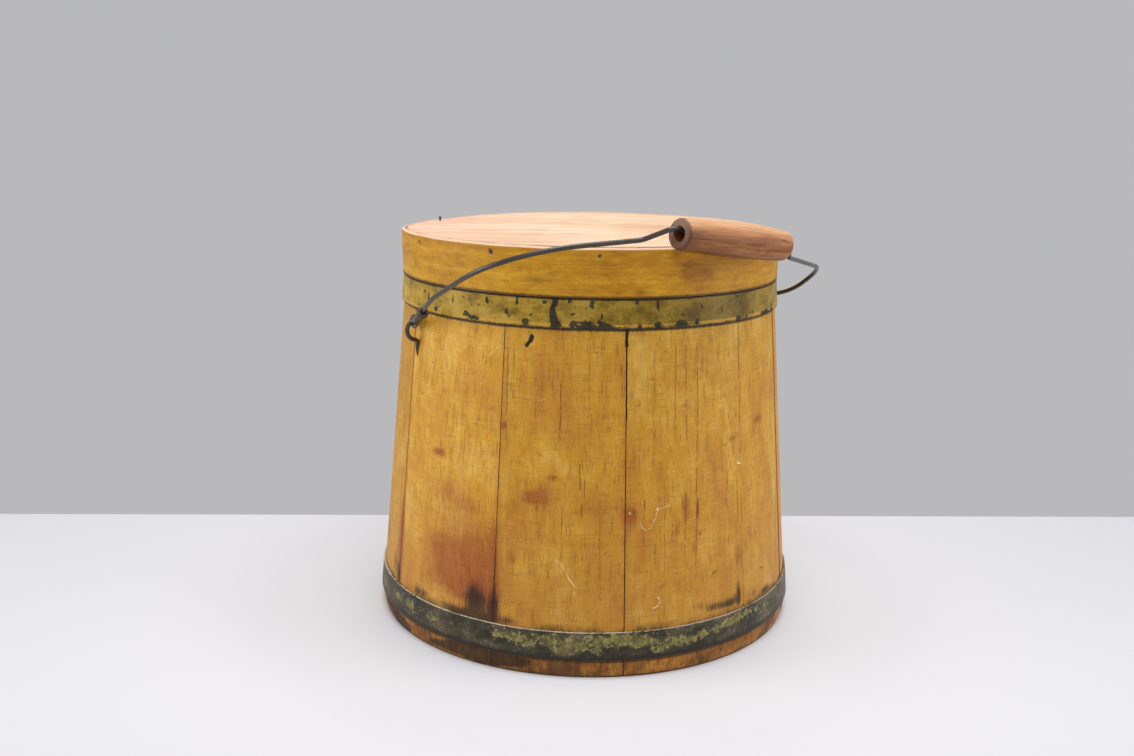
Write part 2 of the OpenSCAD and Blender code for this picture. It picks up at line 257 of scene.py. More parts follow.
class Finish:
    """A node tree with one way to add a node: its type, its settings, then its inputs."""

    def __init__(self, name, world=None):
        self.owner = world or bpy.data.materials.new(name)
        self.owner.use_nodes = True
        self.tree = self.owner.node_tree
        self.tree.nodes.clear()

    def node(self, kind, settings=None, inputs=None, out=0):
        made = self.tree.nodes.new(kind)
        for key, value in (settings or {}).items():
            if key == "stops":
                ramp = made.color_ramp
                while len(ramp.elements) < len(value):
                    ramp.elements.new(0.5)
                for element, (place, colour) in zip(ramp.elements, value):
                    element.position, element.color = place, colour
            else:
                setattr(made, key, value)
        for key, value in (inputs or {}).items():
            if isinstance(value, Socket):
                self.tree.links.new(value.out, made.inputs[key])
            else:
                made.inputs[key].default_value = value
        return Socket(self, made.outputs[out] if made.outputs else None)

    def fact(self, name):
        """A number stored on the mesh's points."""
        return self.node("ShaderNodeAttribute", {"attribute_name": name}, out=2)

    def place(self, name):
        """A vector stored on the mesh's points."""
        return self.node("ShaderNodeAttribute", {"attribute_name": name}, out=1)

    def axis(self, vector, which):
        return self.node("ShaderNodeSeparateXYZ", None, {0: vector}, out=which)

    def stretch(self, vector, scale, shift=(0, 0, 0)):
        return self.node("ShaderNodeVectorMath", {"operation": "MULTIPLY_ADD"}, {0: vector, 1: scale, 2: shift})

    def noise(self, vector, scale=1.0, detail=3.0, roughness=0.55, twist=0.0):
        inputs = {"Vector": vector, "Scale": scale, "Detail": detail, "Roughness": roughness, "Distortion": twist}
        return self.node("ShaderNodeTexNoise", None, inputs)

    def step(self, value, low, high):
        """A soft edge: 0 below low, 1 above high."""
        inputs = {"Value": value, "From Min": low, "From Max": high}
        return self.node("ShaderNodeMapRange", {"interpolation_type": "SMOOTHSTEP"}, inputs)

    def ramp(self, value, *stops):
        return self.node("ShaderNodeValToRGB", {"stops": stops}, {0: value})

    def mix(self, share, first, second, blend="MIX"):
        settings = {"data_type": "RGBA", "blend_type": blend}
        return self.node("ShaderNodeMix", settings, {0: share, 6: first, 7: second}, out=2)

    def shade(self, colour, value):
        return self.node("ShaderNodeVectorMath", {"operation": "SCALE"}, {0: colour, "Scale": value})

    def bump(self, height, distance, strength=1.0):
        return self.node("ShaderNodeBump", None, {"Height": height, "Distance": distance, "Strength": strength})

    def surface(self, inputs):
        """Ends the tree in a Principled shader with these inputs."""
        shader = self.node("ShaderNodeBsdfPrincipled", None, inputs)
        self.node("ShaderNodeOutputMaterial", None, {"Surface": shader})
        return self.owner


def larger(first, second):
    """The larger of two sockets."""
    return first.maths("MAXIMUM", first, second)


def tone(red, green, blue):
    """A colour written in the screen's 0 to 255 steps, as the linear colour that nodes use."""
    steps = np.array([red, green, blue]) / 255
    linear = np.where(steps <= 0.04045, steps / 12.92, ((steps + 0.055) / 1.055) ** 2.4)
    return (*linear.tolist(), 1.0)


# %% Sky, lamps and ground
SKY_LIGHT = 0.42
BACKDROP = tone(185, 185, 187)
# The table is painted lighter near the bucket and darker further out: a painted pool of light.
TABLE_PAINTED_LIGHT_TONES = (0.16, tone(223, 223, 227)), (0.24, tone(211, 211, 216)), (0.6, tone(199, 199, 204))
TABLE_EDGE_SEEN = ((0, 514), (1134, 517))
FADE_FROM, FADE_TO = 0.8, 1.7

scene = bpy.context.scene
scene.view_settings.view_transform = "Standard"
scene.world = bpy.data.worlds.new("sky")
sky = Finish("sky", scene.world)
path_of_light = sky.node("ShaderNodeLightPath")
seen = [Socket(sky, path_of_light.out.node.outputs[k]) for k in ("Is Camera Ray", "Is Glossy Ray")]
clear = Socket(sky, path_of_light.out.node.outputs["Is Transmission Ray"])
lit = sky.node("ShaderNodeBackground", None, {"Color": (1, 1, 1, 1), "Strength": SKY_LIGHT})
shown = sky.node("ShaderNodeBackground", None, {"Color": BACKDROP, "Strength": 1.0})
both = sky.node("ShaderNodeMixShader", None, {0: seen[0] + seen[1] + clear, 1: lit, 2: shown})
sky.node("ShaderNodeOutputWorld", None, {"Surface": both})


def add_lamp(name, place, aim, size, watts):
    """A square area lamp that faces a point of the picture's frame."""
    lamp = bpy.data.objects.new(name, bpy.data.lights.new(name, "AREA"))
    lamp.data.size, lamp.data.energy = size, watts
    scene.collection.objects.link(lamp)
    start, end = to_model(place), to_model(aim)
    lamp.matrix_world = Matrix.Translation(start) @ (end - start).to_track_quat("-Z", "Y").to_matrix().to_4x4()


add_lamp("lamp_over", (0.1, -0.1, 1.75), (0, 0, 0.1), 1.3, 25)
add_lamp("lamp_front", (-0.3, -1.9, 1.0), (0, 0, 0.12), 1.2, 4)
add_lamp("lamp_left", (-1.6, -0.35, 0.6), (0, 0, 0.12), 1.0, 12)
add_lamp("lamp_right", (1.6, -0.35, 0.6), (0, 0, 0.12), 1.0, 10)

GROUND_HALF = 9.0
mesh = bpy.data.meshes.new("ground")
corners = [(-1, -1), (1, -1), (1, 1), (-1, 1)]
mesh.from_pydata([(x * GROUND_HALF, y * GROUND_HALF, -0.0002) for x, y in corners], [], [(0, 1, 2, 3)])
ground = bpy.data.objects.new("ground", mesh)
scene.collection.objects.link(ground)

near_edge = [np.array(eye - ray * (eye.z / ray.z)) for ray in (sight(*seen) for seen in TABLE_EDGE_SEEN)]
across = unit(near_edge[1] - near_edge[0])
away = np.cross((0, 0, 1), across)
paint = Finish("ground")
spot = paint.node("ShaderNodeTexCoord", out=3)
behind = paint.node("ShaderNodeVectorMath", {"operation": "DOT_PRODUCT"}, {0: spot, 1: tuple(away)}, out=1)
edge_far = float(near_edge[0] @ away)
far_off = paint.node("ShaderNodeVectorMath", {"operation": "LENGTH"}, {0: spot}, out=1)
beyond = larger(paint.step(behind, edge_far, edge_far + 0.0015), paint.step(far_off, FADE_FROM, FADE_TO))
table_inputs = {"Base Color": paint.ramp(far_off, *TABLE_PAINTED_LIGHT_TONES), "Roughness": 1.0, "Specular IOR Level": 0.0}
table = paint.node("ShaderNodeBsdfPrincipled", None, table_inputs)
flat = paint.node("ShaderNodeEmission", None, {"Color": BACKDROP, "Strength": 1.0})
both = paint.node("ShaderNodeMixShader", None, {0: beyond, 1: table, 2: flat})
paint.node("ShaderNodeOutputMaterial", None, {"Surface": both})
mesh.materials.append(paint.owner)
print("sky, four lamps and ground")

# %% [markdown]
# ## The staves
# A stave is a plank whose face is a slice of a cone. Its outline, foot to top and back down past
# the groove that holds the bottom, is carried round from one seam to the next. Near a seam the
# outer face rounds away, so that the joint shows as a real fine groove.

# %% Stave outline
FIRST_SEAM = -93.2
STAVE_ARCS = [37.5, 33.5, 36.5, 25, 37.5, 38, 38, 38, 38, 38]
SEAM_GAP = 0.0002
ARRIS = 0.0007
BOTTOM_Z, BOTTOM_T, CROZE = 0.018, 0.012, 0.004
FOOT_EASE, FOOT_EASE_H = 0.0022, 0.008


def stave_outline():
    """Radius, height and a flag for the outer face, from the foot up, over and down inside."""
    z = np.concatenate([np.linspace(0, FOOT_EASE_H, 7)[:-1], np.linspace(FOOT_EASE_H, WALL_TOP - 0.0005, 150)])
    low = np.clip(1 - z / FOOT_EASE_H, 0, 1)
    outer = np.stack([wall_r(z) - FOOT_EASE * low ** 1.5, z, np.ones_like(z)], -1)
    top_r = wall_r(WALL_TOP)
    groove = wall_r(BOTTOM_Z) - WALL_THICK + CROZE
    over = [(top_r - 0.0006, WALL_TOP, 0), (top_r - WALL_THICK + 0.0015, WALL_TOP, 0)]
    z_in = np.linspace(WALL_TOP - 0.0015, BOTTOM_Z + BOTTOM_T + 0.0001, 24)
    inner = np.stack([wall_r(z_in) - WALL_THICK, z_in, np.zeros_like(z_in)], -1)
    foot = [(groove, z_in[-1], 0), (groove, BOTTOM_Z, 0),
            (wall_r(BOTTOM_Z) - WALL_THICK, BOTTOM_Z, 0), (WALL_FOOT_R - WALL_THICK, 0.0006, 0),
            (WALL_FOOT_R - WALL_THICK + 0.0006, 0, 0)]
    return np.concatenate([outer, over, inner, foot])


outline = stave_outline()
seams = np.radians(FIRST_SEAM + np.concatenate([[0], np.cumsum(STAVE_ARCS)]))
print("outline points:", len(outline), "seams:", np.degrees(seams).round(1).tolist())

# %% [markdown]
# Years of use left the wall stained: brown smudges, black damp spots over the lower hoop, dirt
# along the hoops and seams, and painted shade under the hoops' edges. Broad stains are soft, so
# they are sums of bell curves worked out at the mesh's points and stored there. The material
# breaks them up with fine noise. Each spot is written as it is seen: the picture's x and y, half
# width and half height, and a strength.

# %% Stains on the wall
PX = 0.00064

WARM_SPOTS = [
    (456, 556, 26, 22, 0.7), (476, 545, 20, 26, 0.55), (440, 540, 18, 16, 0.35), (470, 590, 26, 16, 0.5),
    (490, 560, 6, 44, 0.6), (402, 520, 5, 30, 0.6), (400, 555, 6, 26, 0.6), (538, 498, 14, 8, 0.4),
    (596, 508, 26, 16, 0.5), (632, 516, 8, 12, 0.9), (645, 545, 16, 22, 0.35), (686, 507, 5, 18, 0.8),
    (677, 530, 3, 12, 0.7), (698, 508, 2.5, 9, 0.8), (655, 512, 6, 8, 0.3), (738, 555, 4, 14, 0.7),
    (468, 505, 14, 8, 0.3), (560, 540, 30, 8, 0.25), (520, 480, 12, 10, 0.25), (600, 545, 22, 5, 0.35),
    (506, 400, 4, 60, 0.25), (755, 430, 6, 10, 0.4), (470, 590, 60, 14, 0.3), (750, 592, 24, 8, 0.3),
    (565, 375, 26, 20, 0.25), (610, 370, 16, 20, 0.3), (640, 470, 12, 16, 0.25), (535, 505, 26, 16, 0.3),
    (450, 520, 34, 14, 0.3), (430, 555, 16, 26, 0.3), (440, 485, 22, 10, 0.2), (420, 578, 14, 12, 0.25),
    (480, 580, 22, 24, 0.7), (450, 575, 20, 20, 0.5), (452, 495, 36, 20, 0.4), (560, 590, 50, 20, 0.15),
    (439, 452, 7, 4, 1.5), (545, 490, 14, 9, 0.5), (532, 498, 12, 7, 0.5), (758, 418, 6, 5, 0.9),
    (733, 438, 5, 4, 0.8), (503, 425, 3, 3, 1.2), (470, 435, 3, 3, 0.6), (552, 478, 8, 3, 0.8),
]
SOOT_SPOTS = [
    (473, 600, 9, 20, 0.75), (492, 612, 7, 12, 0.7), (494, 585, 3, 26, 0.5), (480, 617, 22, 6, 0.7),
    (455, 610, 16, 5, 0.55), (420, 592, 9, 7, 0.6), (408, 586, 5, 5, 0.4), (398, 570, 3, 14, 0.75),
    (739, 598, 2.5, 12, 0.8), (728, 604, 9, 4, 0.6), (765, 590, 9, 4, 0.5), (714, 573, 3.5, 2, 0.7),
    (762, 567, 3, 1.5, 0.6), (663, 586, 2.5, 3, 0.5), (643, 573, 5, 2, 0.3), (438, 452, 3, 2.5, 0.5),
    (512, 558, 7, 5, 0.3), (535, 510, 6, 2, 0.45), (577, 575, 8, 3, 0.2), (510, 622, 10, 4, 0.4),
    (700, 606, 8, 5, 0.5), (716, 606, 10, 5, 0.6), (731, 601, 9, 7, 0.6), (738, 590, 3, 12, 0.6),
    (753, 594, 9, 5, 0.5), (766, 588, 6, 5, 0.6), (395, 562, 2.5, 16, 0.6), (400, 577, 3, 12, 0.6),
    (417, 591, 3, 7, 0.6), (424, 595, 4, 6, 0.5), (446, 605, 13, 6, 0.5), (478, 598, 11, 16, 0.45),
    (494, 604, 4, 16, 0.5), (508, 620, 7, 5, 0.4), (470, 357, 2.5, 1.5, 0.4), (574, 513, 9, 3, 0.35),
    (712, 608, 9, 4, 0.35), (586, 622, 60, 3, 0.25), (482, 604, 20, 13, 0.35), (470, 616, 20, 6, 0.5),
]
FOOT_SPOTS = [
    (389, 600, 8, 7, 0.9), (395, 612, 8, 6, 0.8), (452, 645, 10, 6, 0.6), (494, 657, 16, 8, 0.6),
    (400, 622, 10, 8, 0.9), (480, 655, 12, 10, 1.0), (466, 648, 8, 6, 0.7), (510, 660, 20, 8, 0.5),
    (555, 662, 16, 6, 0.4), (432, 640, 8, 6, 0.3), (640, 664, 10, 5, 0.4), (720, 650, 14, 6, 0.5),
    (750, 632, 10, 6, 0.4), (690, 655, 8, 5, 0.4), (470, 652, 24, 8, 1.2), (505, 660, 30, 8, 0.8),
    (440, 645, 16, 7, 0.6), (402, 624, 10, 8, 0.9),
]


def bells(azimuth, z, spots, foot_r=0.1556, seed=None, levels=(0.036, 0.045, 0.06, 0.12, 0.2), taper=WALL_TAPER,
          grow=1.0):
    """Sum of bell curves at the picture's spots and, with a seed, at drawn ones round the back."""
    total = np.zeros(np.broadcast(azimuth, z).shape)
    spots = [(*seen_at(px, py, foot_r, taper), wide * PX, high * PX, share) for px, py, wide, high, share in spots]
    spots = [(a, h, wide / max(math.cos(a + PICTURE_TURN), 0.45), high, share) for a, h, wide, high, share in spots]
    if seed is not None:
        draw = np.random.default_rng(seed)
        spots += [(draw.uniform(1.1, 4.4), draw.choice(levels) + draw.normal(0, 0.006) * grow,
                   draw.uniform(0.003, 0.018) * grow, draw.uniform(0.004, 0.022) * grow,
                   draw.uniform(0.3, 0.8)) for _ in range(int(18 / grow))]
    for a0, z0, wide, high, share in spots:
        off = (azimuth - a0 + math.pi) % (2 * math.pi) - math.pi
        total += share * np.exp(-(off * ARC_R / wide) ** 2 - ((z - z0) / high) ** 2)
    return np.clip(total, 0, 1.2)


# %% Ten staves
SEAM_OPEN = [0.5, 0.26, 0.5, 0.12, 1.5, 0.5, 0.4, 0.6, 0.5, 0.4]
SEAM_STAIN = [0.4, 0.3, 0.3, 0.1, 1.2, 0.3, 0.2, 0.5, 0.3, 0.2]
# Each stave's own tone. The first and fifth staves, at the picture's left and right, are set lighter as painted side
# light.
PLANK_TONES_AND_SIDE_LIGHT = [0.95, 0.5, 0.31, 0.44, 0.83, 0.2, 0.55, 0.4, 0.66, 0.27]


def build_stave(i):
    """One stave: rows run from seam to seam, closer near the seams, and columns run round the outline."""
    start, end = seams[i] + SEAM_GAP / 2 / ARC_R, seams[i + 1] - SEAM_GAP / 2 / ARC_R
    near = np.array([0, 0.1, 0.2, 0.35, 0.55, 0.8, 1.2]) / 1000 / ARC_R
    azimuth = np.concatenate([start + near, np.linspace(start, end, 84)[2:-2], end - near[::-1]])[:, None]
    r, z, outside = outline.T[:, None, :]
    first = azimuth - start < end - azimuth
    from_seam = np.where(first, azimuth - start, end - azimuth) * ARC_R
    open_here = np.where(first, SEAM_OPEN[i], SEAM_OPEN[(i + 1) % 10])
    seam_stain = np.where(first, SEAM_STAIN[i], SEAM_STAIN[(i + 1) % 10]) * np.exp(-(from_seam / 0.003) ** 2)
    arris = ARRIS * open_here
    drop = arris * (1 - np.sqrt(1 - np.clip(1 - from_seam / arris, 0, 1) ** 2))
    arc = azimuth * ARC_R
    uneven = 0.00012 * (1 + ripple(arc, z, (60, 14), 40 + i)) + 0.00003 * (1 + ripple(arc, z, (900, 9), 60 + i))
    radius = r - outside * (drop + uneven)
    chips = np.clip(ripple(arc, 0 * z, (260, 0), 80 + i) - 0.35, 0, 1) * np.clip(1 - z / 0.004, 0, 1)
    height = np.maximum(z, 0) + outside * 0.0016 * chips
    grid = around(azimuth, radius, height)
    full = np.ones_like(grid[..., 0])
    facts = {
        "grain": np.stack([z * full, arc * full, radius], -1),
        "plank": full * PLANK_TONES_AND_SIDE_LIGHT[i],
        "edge": from_seam * full,
        "open": open_here * full,
        "inside": full * (1 - outside),
        "soot": bells(azimuth, z, SOOT_SPOTS, seed=5) * outside,
        "warm": (bells(azimuth, z, WARM_SPOTS, seed=6) + seam_stain) * outside,
        "foot": bells(azimuth, z, FOOT_SPOTS, seed=7, levels=(0.003, 0.007, 0.01)) * outside,
    }
    name = f"stave_{i + 1:02d}"
    return make_piece(name + "_wood", [(grid, False)], "bucket", "stave_wood", [name], facts)


staves = [build_stave(i) for i in range(len(STAVE_ARCS))]
print("staves:", len(staves), "points each about", len(staves[0].data.vertices))

# %% [markdown]
# ## Old ochre wood
# The wall is softwood under a worn ochre stain. Its pattern is noise stretched along the grain:
# broad noise for light and dark growth, fine noise for thin brown lines, which another noise
# breaks into dashes. Faint hatching across the grain is left by the saw. Stains, seam dirt,
# cracks, scratches and painted shade under the hoops are laid over that in turn.

# %% Wood pattern
def wood_lines(finish, grain, seed, lengthwise=0.03, fine=1500.0):
    """Broad growth, thin broken lines and saw marks of a wooden face, each about 0 to 1."""
    drift = finish.node("ShaderNodeCombineXYZ", None, {0: seed * 3.1, 1: seed * 7.7, 2: seed * 1.3})
    broad = finish.noise(finish.stretch(grain, (lengthwise, 1, 1), drift), 130.0, 3.0, 0.55, 0.6)
    thin = finish.noise(finish.stretch(grain, (lengthwise * 0.6, 1, 0.4), drift), fine, 2.0, 0.6)
    dashes = finish.noise(finish.stretch(grain, (0.3, 1, 1), drift), 330.0, 3.0, 0.6)
    saw = finish.noise(finish.stretch(grain, (1, 0.06, 0.1), drift), 1150.0, 2.0, 0.6)
    return broad, finish.step(thin, 0.5, 0.66) * finish.step(dashes, 0.4, 0.58), saw


def stroke(finish, place, a, b, width):
    """A line from a to b on the unrolled wall: 1 within half its width, 0 outside."""
    run = np.array(b) - np.array(a)
    here = finish.node("ShaderNodeVectorMath", {"operation": "SUBTRACT"}, {0: place, 1: (*a, 0)})
    dot = finish.node("ShaderNodeVectorMath", {"operation": "DOT_PRODUCT"}, {0: here, 1: (*run, 0)}, out=1)
    share = finish.node("ShaderNodeClamp", None, {0: dot / float(run @ run)})
    nearest = finish.node("ShaderNodeVectorMath", {"operation": "SCALE"}, {0: (*run, 0), "Scale": share})
    far = finish.node("ShaderNodeVectorMath", {"operation": "DISTANCE"}, {0: here, 1: nearest}, out=1)
    return 1 - finish.step(far, width * 0.3, width * 0.7)


# %% Marks drawn with a fine line
# Corners of each line in the picture, then its width in millimetres
SCRATCHES = [
    ([(640, 523), (643, 528), (646, 531), (651, 528), (655, 519), (657.5, 511), (657, 507)], 0.36),
    ([(657.5, 511), (662, 507.5), (670, 505)], 0.36), ([(656, 510), (658, 508)], 0.8),
    ([(657, 597), (661.5, 601.5)], 0.9), ([(661.5, 601.5), (656, 607.5), (649, 610)], 0.75),
    ([(555, 560), (561, 564), (565, 572)], 0.45), ([(565, 572), (569, 579), (575, 588), (574, 595)], 0.65),
    ([(482, 362), (490, 354), (497, 348), (501, 345.5)], 0.3), ([(736, 463), (741, 463)], 1.0),
    ([(630, 512.5), (630.5, 514)], 0.8), ([(527, 405), (536, 402), (546, 399)], 0.25),
    ([(560, 589), (567, 590)], 0.3), ([(464, 622), (467, 625)], 0.3),
]
CRACKS = [
    ([(697, 345), (698, 400), (697, 470), (696, 566)], 0.7), ([(508, 350), (506, 440)], 0.6),
    ([(514, 350), (513, 400)], 0.4), ([(561, 385), (560, 440)], 1.0), ([(686, 492), (685, 556)], 0.8),
    ([(673, 524), (672, 542)], 0.6), ([(698, 499), (698, 519)], 1.3), ([(655, 345), (653, 470)], 0.35),
    ([(590, 340), (589, 430)], 0.35), ([(720, 345), (722, 470)], 0.35), ([(470, 345), (462, 480)], 0.35),
    ([(412.5, 362), (408, 420)], 0.5), ([(562, 505), (561, 560)], 0.5), ([(600, 500), (600, 600)], 0.4),
    ([(665, 480), (664, 620)], 0.35), ([(737, 480), (738, 520)], 0.6), ([(582, 503), (581, 520)], 0.7),
    ([(712, 574.5), (716, 571)], 1.4), ([(760, 567.5), (764, 566.5)], 1.1), ([(676, 345), (675, 430)], 0.6),
    ([(686, 345), (687, 440)], 0.6), ([(580, 465), (580, 490)], 0.8), ([(585, 480), (584, 500)], 0.6),
    ([(645, 500), (644, 520)], 0.9), ([(728, 470), (726, 505)], 0.6), ([(622, 360), (622, 400)], 0.6),
]
BLACK_MARKS = [
    ([(531.8, 337), (530.6, 340.5)], 3.2), ([(530.5, 340.5), (529, 342.5)], 1.7), ([(529, 342.5), (526.8, 345)], 2.5),
    ([(627, 332), (626.8, 346)], 2.2), ([(626.8, 346), (626.5, 420)], 0.9),
]


def on_wall(seen):
    """Arc and height on the unrolled wall at a pixel of the picture."""
    azimuth, z = seen_at(*seen)
    return azimuth * ARC_R, z


def drawn(finish, place, lines):
    """Adds up the strokes of broken lines."""
    total = 0
    for corners, width in lines:
        for a, b in zip(corners, corners[1:]):
            total = total + stroke(finish, place, on_wall(a), on_wall(b), width / 1000)
    return total


# %% Stave material
OCHRE, OCHRE_PALE, OCHRE_DEEP = tone(200, 146, 36), tone(217, 170, 62), tone(180, 120, 30)
LINE_BROWN, BARE_WOOD, SCRATCH_PALE = tone(118, 62, 28), tone(190, 152, 108), tone(236, 218, 180)
# The second tint darkens soot and also the painted shade under the hoops.
WARM_TINT, SOOT_AND_SHADE_TINT, SEAM_BROWN = (0.62, 0.38, 0.42, 1), (0.075, 0.08, 0.25, 1), tone(70, 30, 18)
TOP_HOOP_LOW, LOW_HOOP_TOP, LOW_HOOP_LOW = 0.231, 0.032, 0.013


def stave_material():
    f = Finish("ochre_staves")
    grain, plank = f.place("grain"), f.fact("plank")
    height, arc = f.axis(grain, 0), f.axis(grain, 1)
    broad, lines, saw = wood_lines(f, grain, plank, 0.09)
    cloudy = f.noise(f.stretch(grain, (0.6, 1, 1)), 26.0, 4.0, 0.6, 0.4)
    patchy = f.noise(f.stretch(grain, (1, 1, 1), (3, 1, 0)), 95.0, 5.0, 0.66)
    ragged = f.noise(f.stretch(grain, (0.45, 1, 1)), 420.0, 4.0, 0.65)
    flecks = f.noise(f.stretch(grain, (1, 0.45, 1), (0, 5, 0)), 260.0, 4.0, 0.6)
    growth = broad * 0.26 + cloudy * 0.34 + patchy * 0.4
    colour = f.ramp(growth, (0.37, OCHRE_DEEP), (0.5, OCHRE), (0.62, OCHRE_PALE))
    fibres = f.noise(f.stretch(grain, (0.025, 1, 0.4), (7, 0, 0)), 980.0, 3.0, 0.7)
    # Each stave's tone scales its brightness. On the staves at the picture's sides this is partly painted side light.
    colour = f.shade(colour, plank * 0.18 + ragged * 0.26 + fibres * 0.32 + 0.61)
    colour = f.mix(f.step(patchy - cloudy, 0.03, 0.2) * 0.35, colour, tone(186, 116, 48))
    colour = f.mix(lines * 0.5, colour, LINE_BROWN)
    colour = f.mix(f.step(saw, 0.5, 0.72) * f.step(patchy, 0.4, 0.6) * 0.42, colour, LINE_BROWN)
    colour = f.mix((1 - f.step(saw, 0.3, 0.42)) * 0.25, colour, OCHRE_PALE)
    colour = f.mix(f.step(flecks, 0.66, 0.74) * 0.7, colour, tone(122, 70, 40))
    speckles = f.step(f.noise(f.stretch(grain, (1, 1, 1), (0, 0, 4)), 900.0, 2.0, 0.6), 0.6, 0.72)
    colour = f.mix(speckles * (0.45 - f.step(height, 0.03, 0.2) * 0.3), colour, tone(120, 76, 40))
    toward_foot = 1 - f.step(height, 0.02, 0.13)
    colour = f.mix(toward_foot * cloudy * 0.55, colour, tone(158, 98, 50))
    colour = f.mix(f.step(cloudy, 0.56, 0.7) * 0.2, colour, tone(222, 182, 110))
    warm = f.step(f.fact("warm") + (ragged - 0.5) * 0.7 + (fibres + cloudy - 1) * 0.5, 0.02, 1.0)
    colour = f.mix(warm, colour, WARM_TINT, "MULTIPLY")
    unrolled = f.node("ShaderNodeCombineXYZ", None, {0: arc, 1: height})
    shaky = f.node("ShaderNodeVectorMath", {"operation": "MULTIPLY_ADD"}, {
        0: f.node("ShaderNodeTexNoise", None, {"Vector": unrolled, "Scale": 190.0, "Detail": 2.0}, out=1),
        1: (0.0012, 0.0012, 0), 2: f.stretch(unrolled, (1, 1, 0), (-0.0006, -0.0006, 0))})
    cracks = f.step(drawn(f, shaky, CRACKS), 0.2, 1.0) * f.step(ragged, 0.36, 0.54)
    colour = f.mix(cracks * 0.75, colour, tone(104, 46, 26))
    soot = f.step(f.fact("soot") + (ragged - 0.5) * 0.9 + (fibres - 0.5) * 1.1, 0.06, 1.1)
    # Dirt and painted shade: a dark band just under the upper hoop's lower edge, where the hoop stands off the wall.
    shade_and_dirt_under_hoop = 1 - f.step(TOP_HOOP_LOW - height + (ragged - 0.5) * 0.0012, 0.001, 0.0022)
    shade_and_dirt_under_hoop = shade_and_dirt_under_hoop * (1 - f.step(height + (ragged - 0.5) * 0.002, 0.2495, 0.2512))
    over_low = (1 - f.step(height, LOW_HOOP_TOP, LOW_HOOP_TOP + 0.006)) * f.step(cloudy + ragged * 0.5, 0.64, 0.86)
    foot_dirt = f.step(f.fact("foot") + (ragged - 0.5) * 1.0 + (fibres - 0.5) * 0.6, 0.15, 0.75)
    foot_edge = 1 - f.step(height + (ragged - 0.5) * 0.0006, 0.0006, 0.002)
    # Painted shadow of the lower hoop's lower edge, with dirt: a dark line just under that hoop.
    shadow_and_dirt_under_low_hoop = f.step(height + (ragged - 0.5) * 0.0012, 0.0094, 0.0112) * (1 - f.step(height, 0.013, 0.014))
    # One darkening mask joins soot spots, foot dirt, the dark foot edge and dirt above the lower hoop with the painted
    # shade under both hoops.
    soot = larger(larger(soot, shade_and_dirt_under_hoop), larger(over_low * 0.75, larger(foot_dirt, foot_edge * 0.9)))
    soot = larger(soot, shadow_and_dirt_under_low_hoop * 0.9)
    below = 1 - f.step(height, 0.0125, 0.0135)
    streaks = f.noise(f.stretch(grain, (0.3, 1, 1), (0, 0, 9)), 260.0, 4.0, 0.7)
    colour = f.mix(below * f.step(streaks * 0.7 + cloudy * 0.3, 0.36, 0.64), colour, WARM_TINT, "MULTIPLY")
    colour = f.mix(soot * 0.93, colour, SOOT_AND_SHADE_TINT, "MULTIPLY")
    dirt_width = f.fact("open") * (cloudy + 0.4) * 0.0009
    from_seam = f.fact("edge") + (ragged - 0.5) * 0.0007
    seam = 1 - f.step(from_seam / dirt_width, 0.3, 1.0)
    colour = f.mix(seam * 0.9, colour, SEAM_BROWN)
    knot = f.step(drawn(f, shaky, BLACK_MARKS), 0.2, 0.7)
    colour = f.mix(knot, colour, tone(36, 24, 20))
    scratches = f.step(drawn(f, shaky, SCRATCHES), 0.1, 0.9) * f.step(ragged, 0.38, 0.54)
    colour = f.mix(scratches * 0.85, colour, SCRATCH_PALE)
    inside = f.shade(f.mix(broad, BARE_WOOD, tone(150, 112, 74)), cloudy * 0.3 + 0.8)
    colour = f.mix(f.step(f.fact("inside"), 0.4, 0.6), colour, inside)
    relief = f.bump(lines * -0.5 + ragged * 0.35 - seam * 0.5 - knot * 2 + saw * 0.3 - cracks, 0.0003, 0.6)
    rough = 0.42 + cloudy * 0.2 + soot * 0.12
    return f.surface({"Base Color": colour, "Roughness": rough, "Normal": relief, "Specular IOR Level": 0.3})


ochre_staves = stave_material()
for piece in staves:
    piece.data.materials.append(ochre_staves)
print("stave material nodes:", len(ochre_staves.node_tree.nodes))

# %% [markdown]
# ## The bottom
# Two boards lie in the staves' groove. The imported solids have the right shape, so they stay, and
# they get the bare, greyed wood of a bucket's inside.

# %% Bottom boards
def bare_material(name, pale, deep, along, slot_rough=0.6):
    """Bare wood on Object coordinates, with its grain along one direction."""
    f = Finish(name)
    spot = f.node("ShaderNodeTexCoord", out=3)
    grain = f.node("ShaderNodeMapping", None, {"Vector": spot, "Rotation": (0, 0, -along)})
    seed = f.axis(grain, 2) * 0
    broad, lines, saw = wood_lines(f, grain, seed)
    colour = f.mix(f.step(broad, 0.35, 0.65), pale, deep)
    colour = f.mix(lines * 0.4, colour, LINE_BROWN)
    relief = f.bump(broad * 0.4 - lines * 0.4 + saw * 0.2, 0.0003, 0.5)
    return f.surface({"Base Color": colour, "Roughness": broad * 0.1 + slot_rough, "Normal": relief})


bottom_wood = bare_material("bottom_boards", tone(184, 148, 106), tone(142, 106, 72), 0.0)
for node in ("bottom_board_front", "bottom_board_back"):
    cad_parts[node].data.materials.clear()
    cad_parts[node].data.materials.append(bottom_wood)
print("bottom boards finished")

# %% [markdown]
# ## The hoops
# A hoop is a strip of sheet iron bent round the wall, with its ends lapped and riveted. The strip
# is a thin section with rounded edges, carried a little more than once round: as it comes to its
# start again it climbs over it by its own thickness. Old strip is a little dented and wavy.

# %% Hoop strips
HOOP_W, HOOP_T, HOOP_LAP = 0.019, 0.0015, 0.034
LAP_AT = math.radians(168)


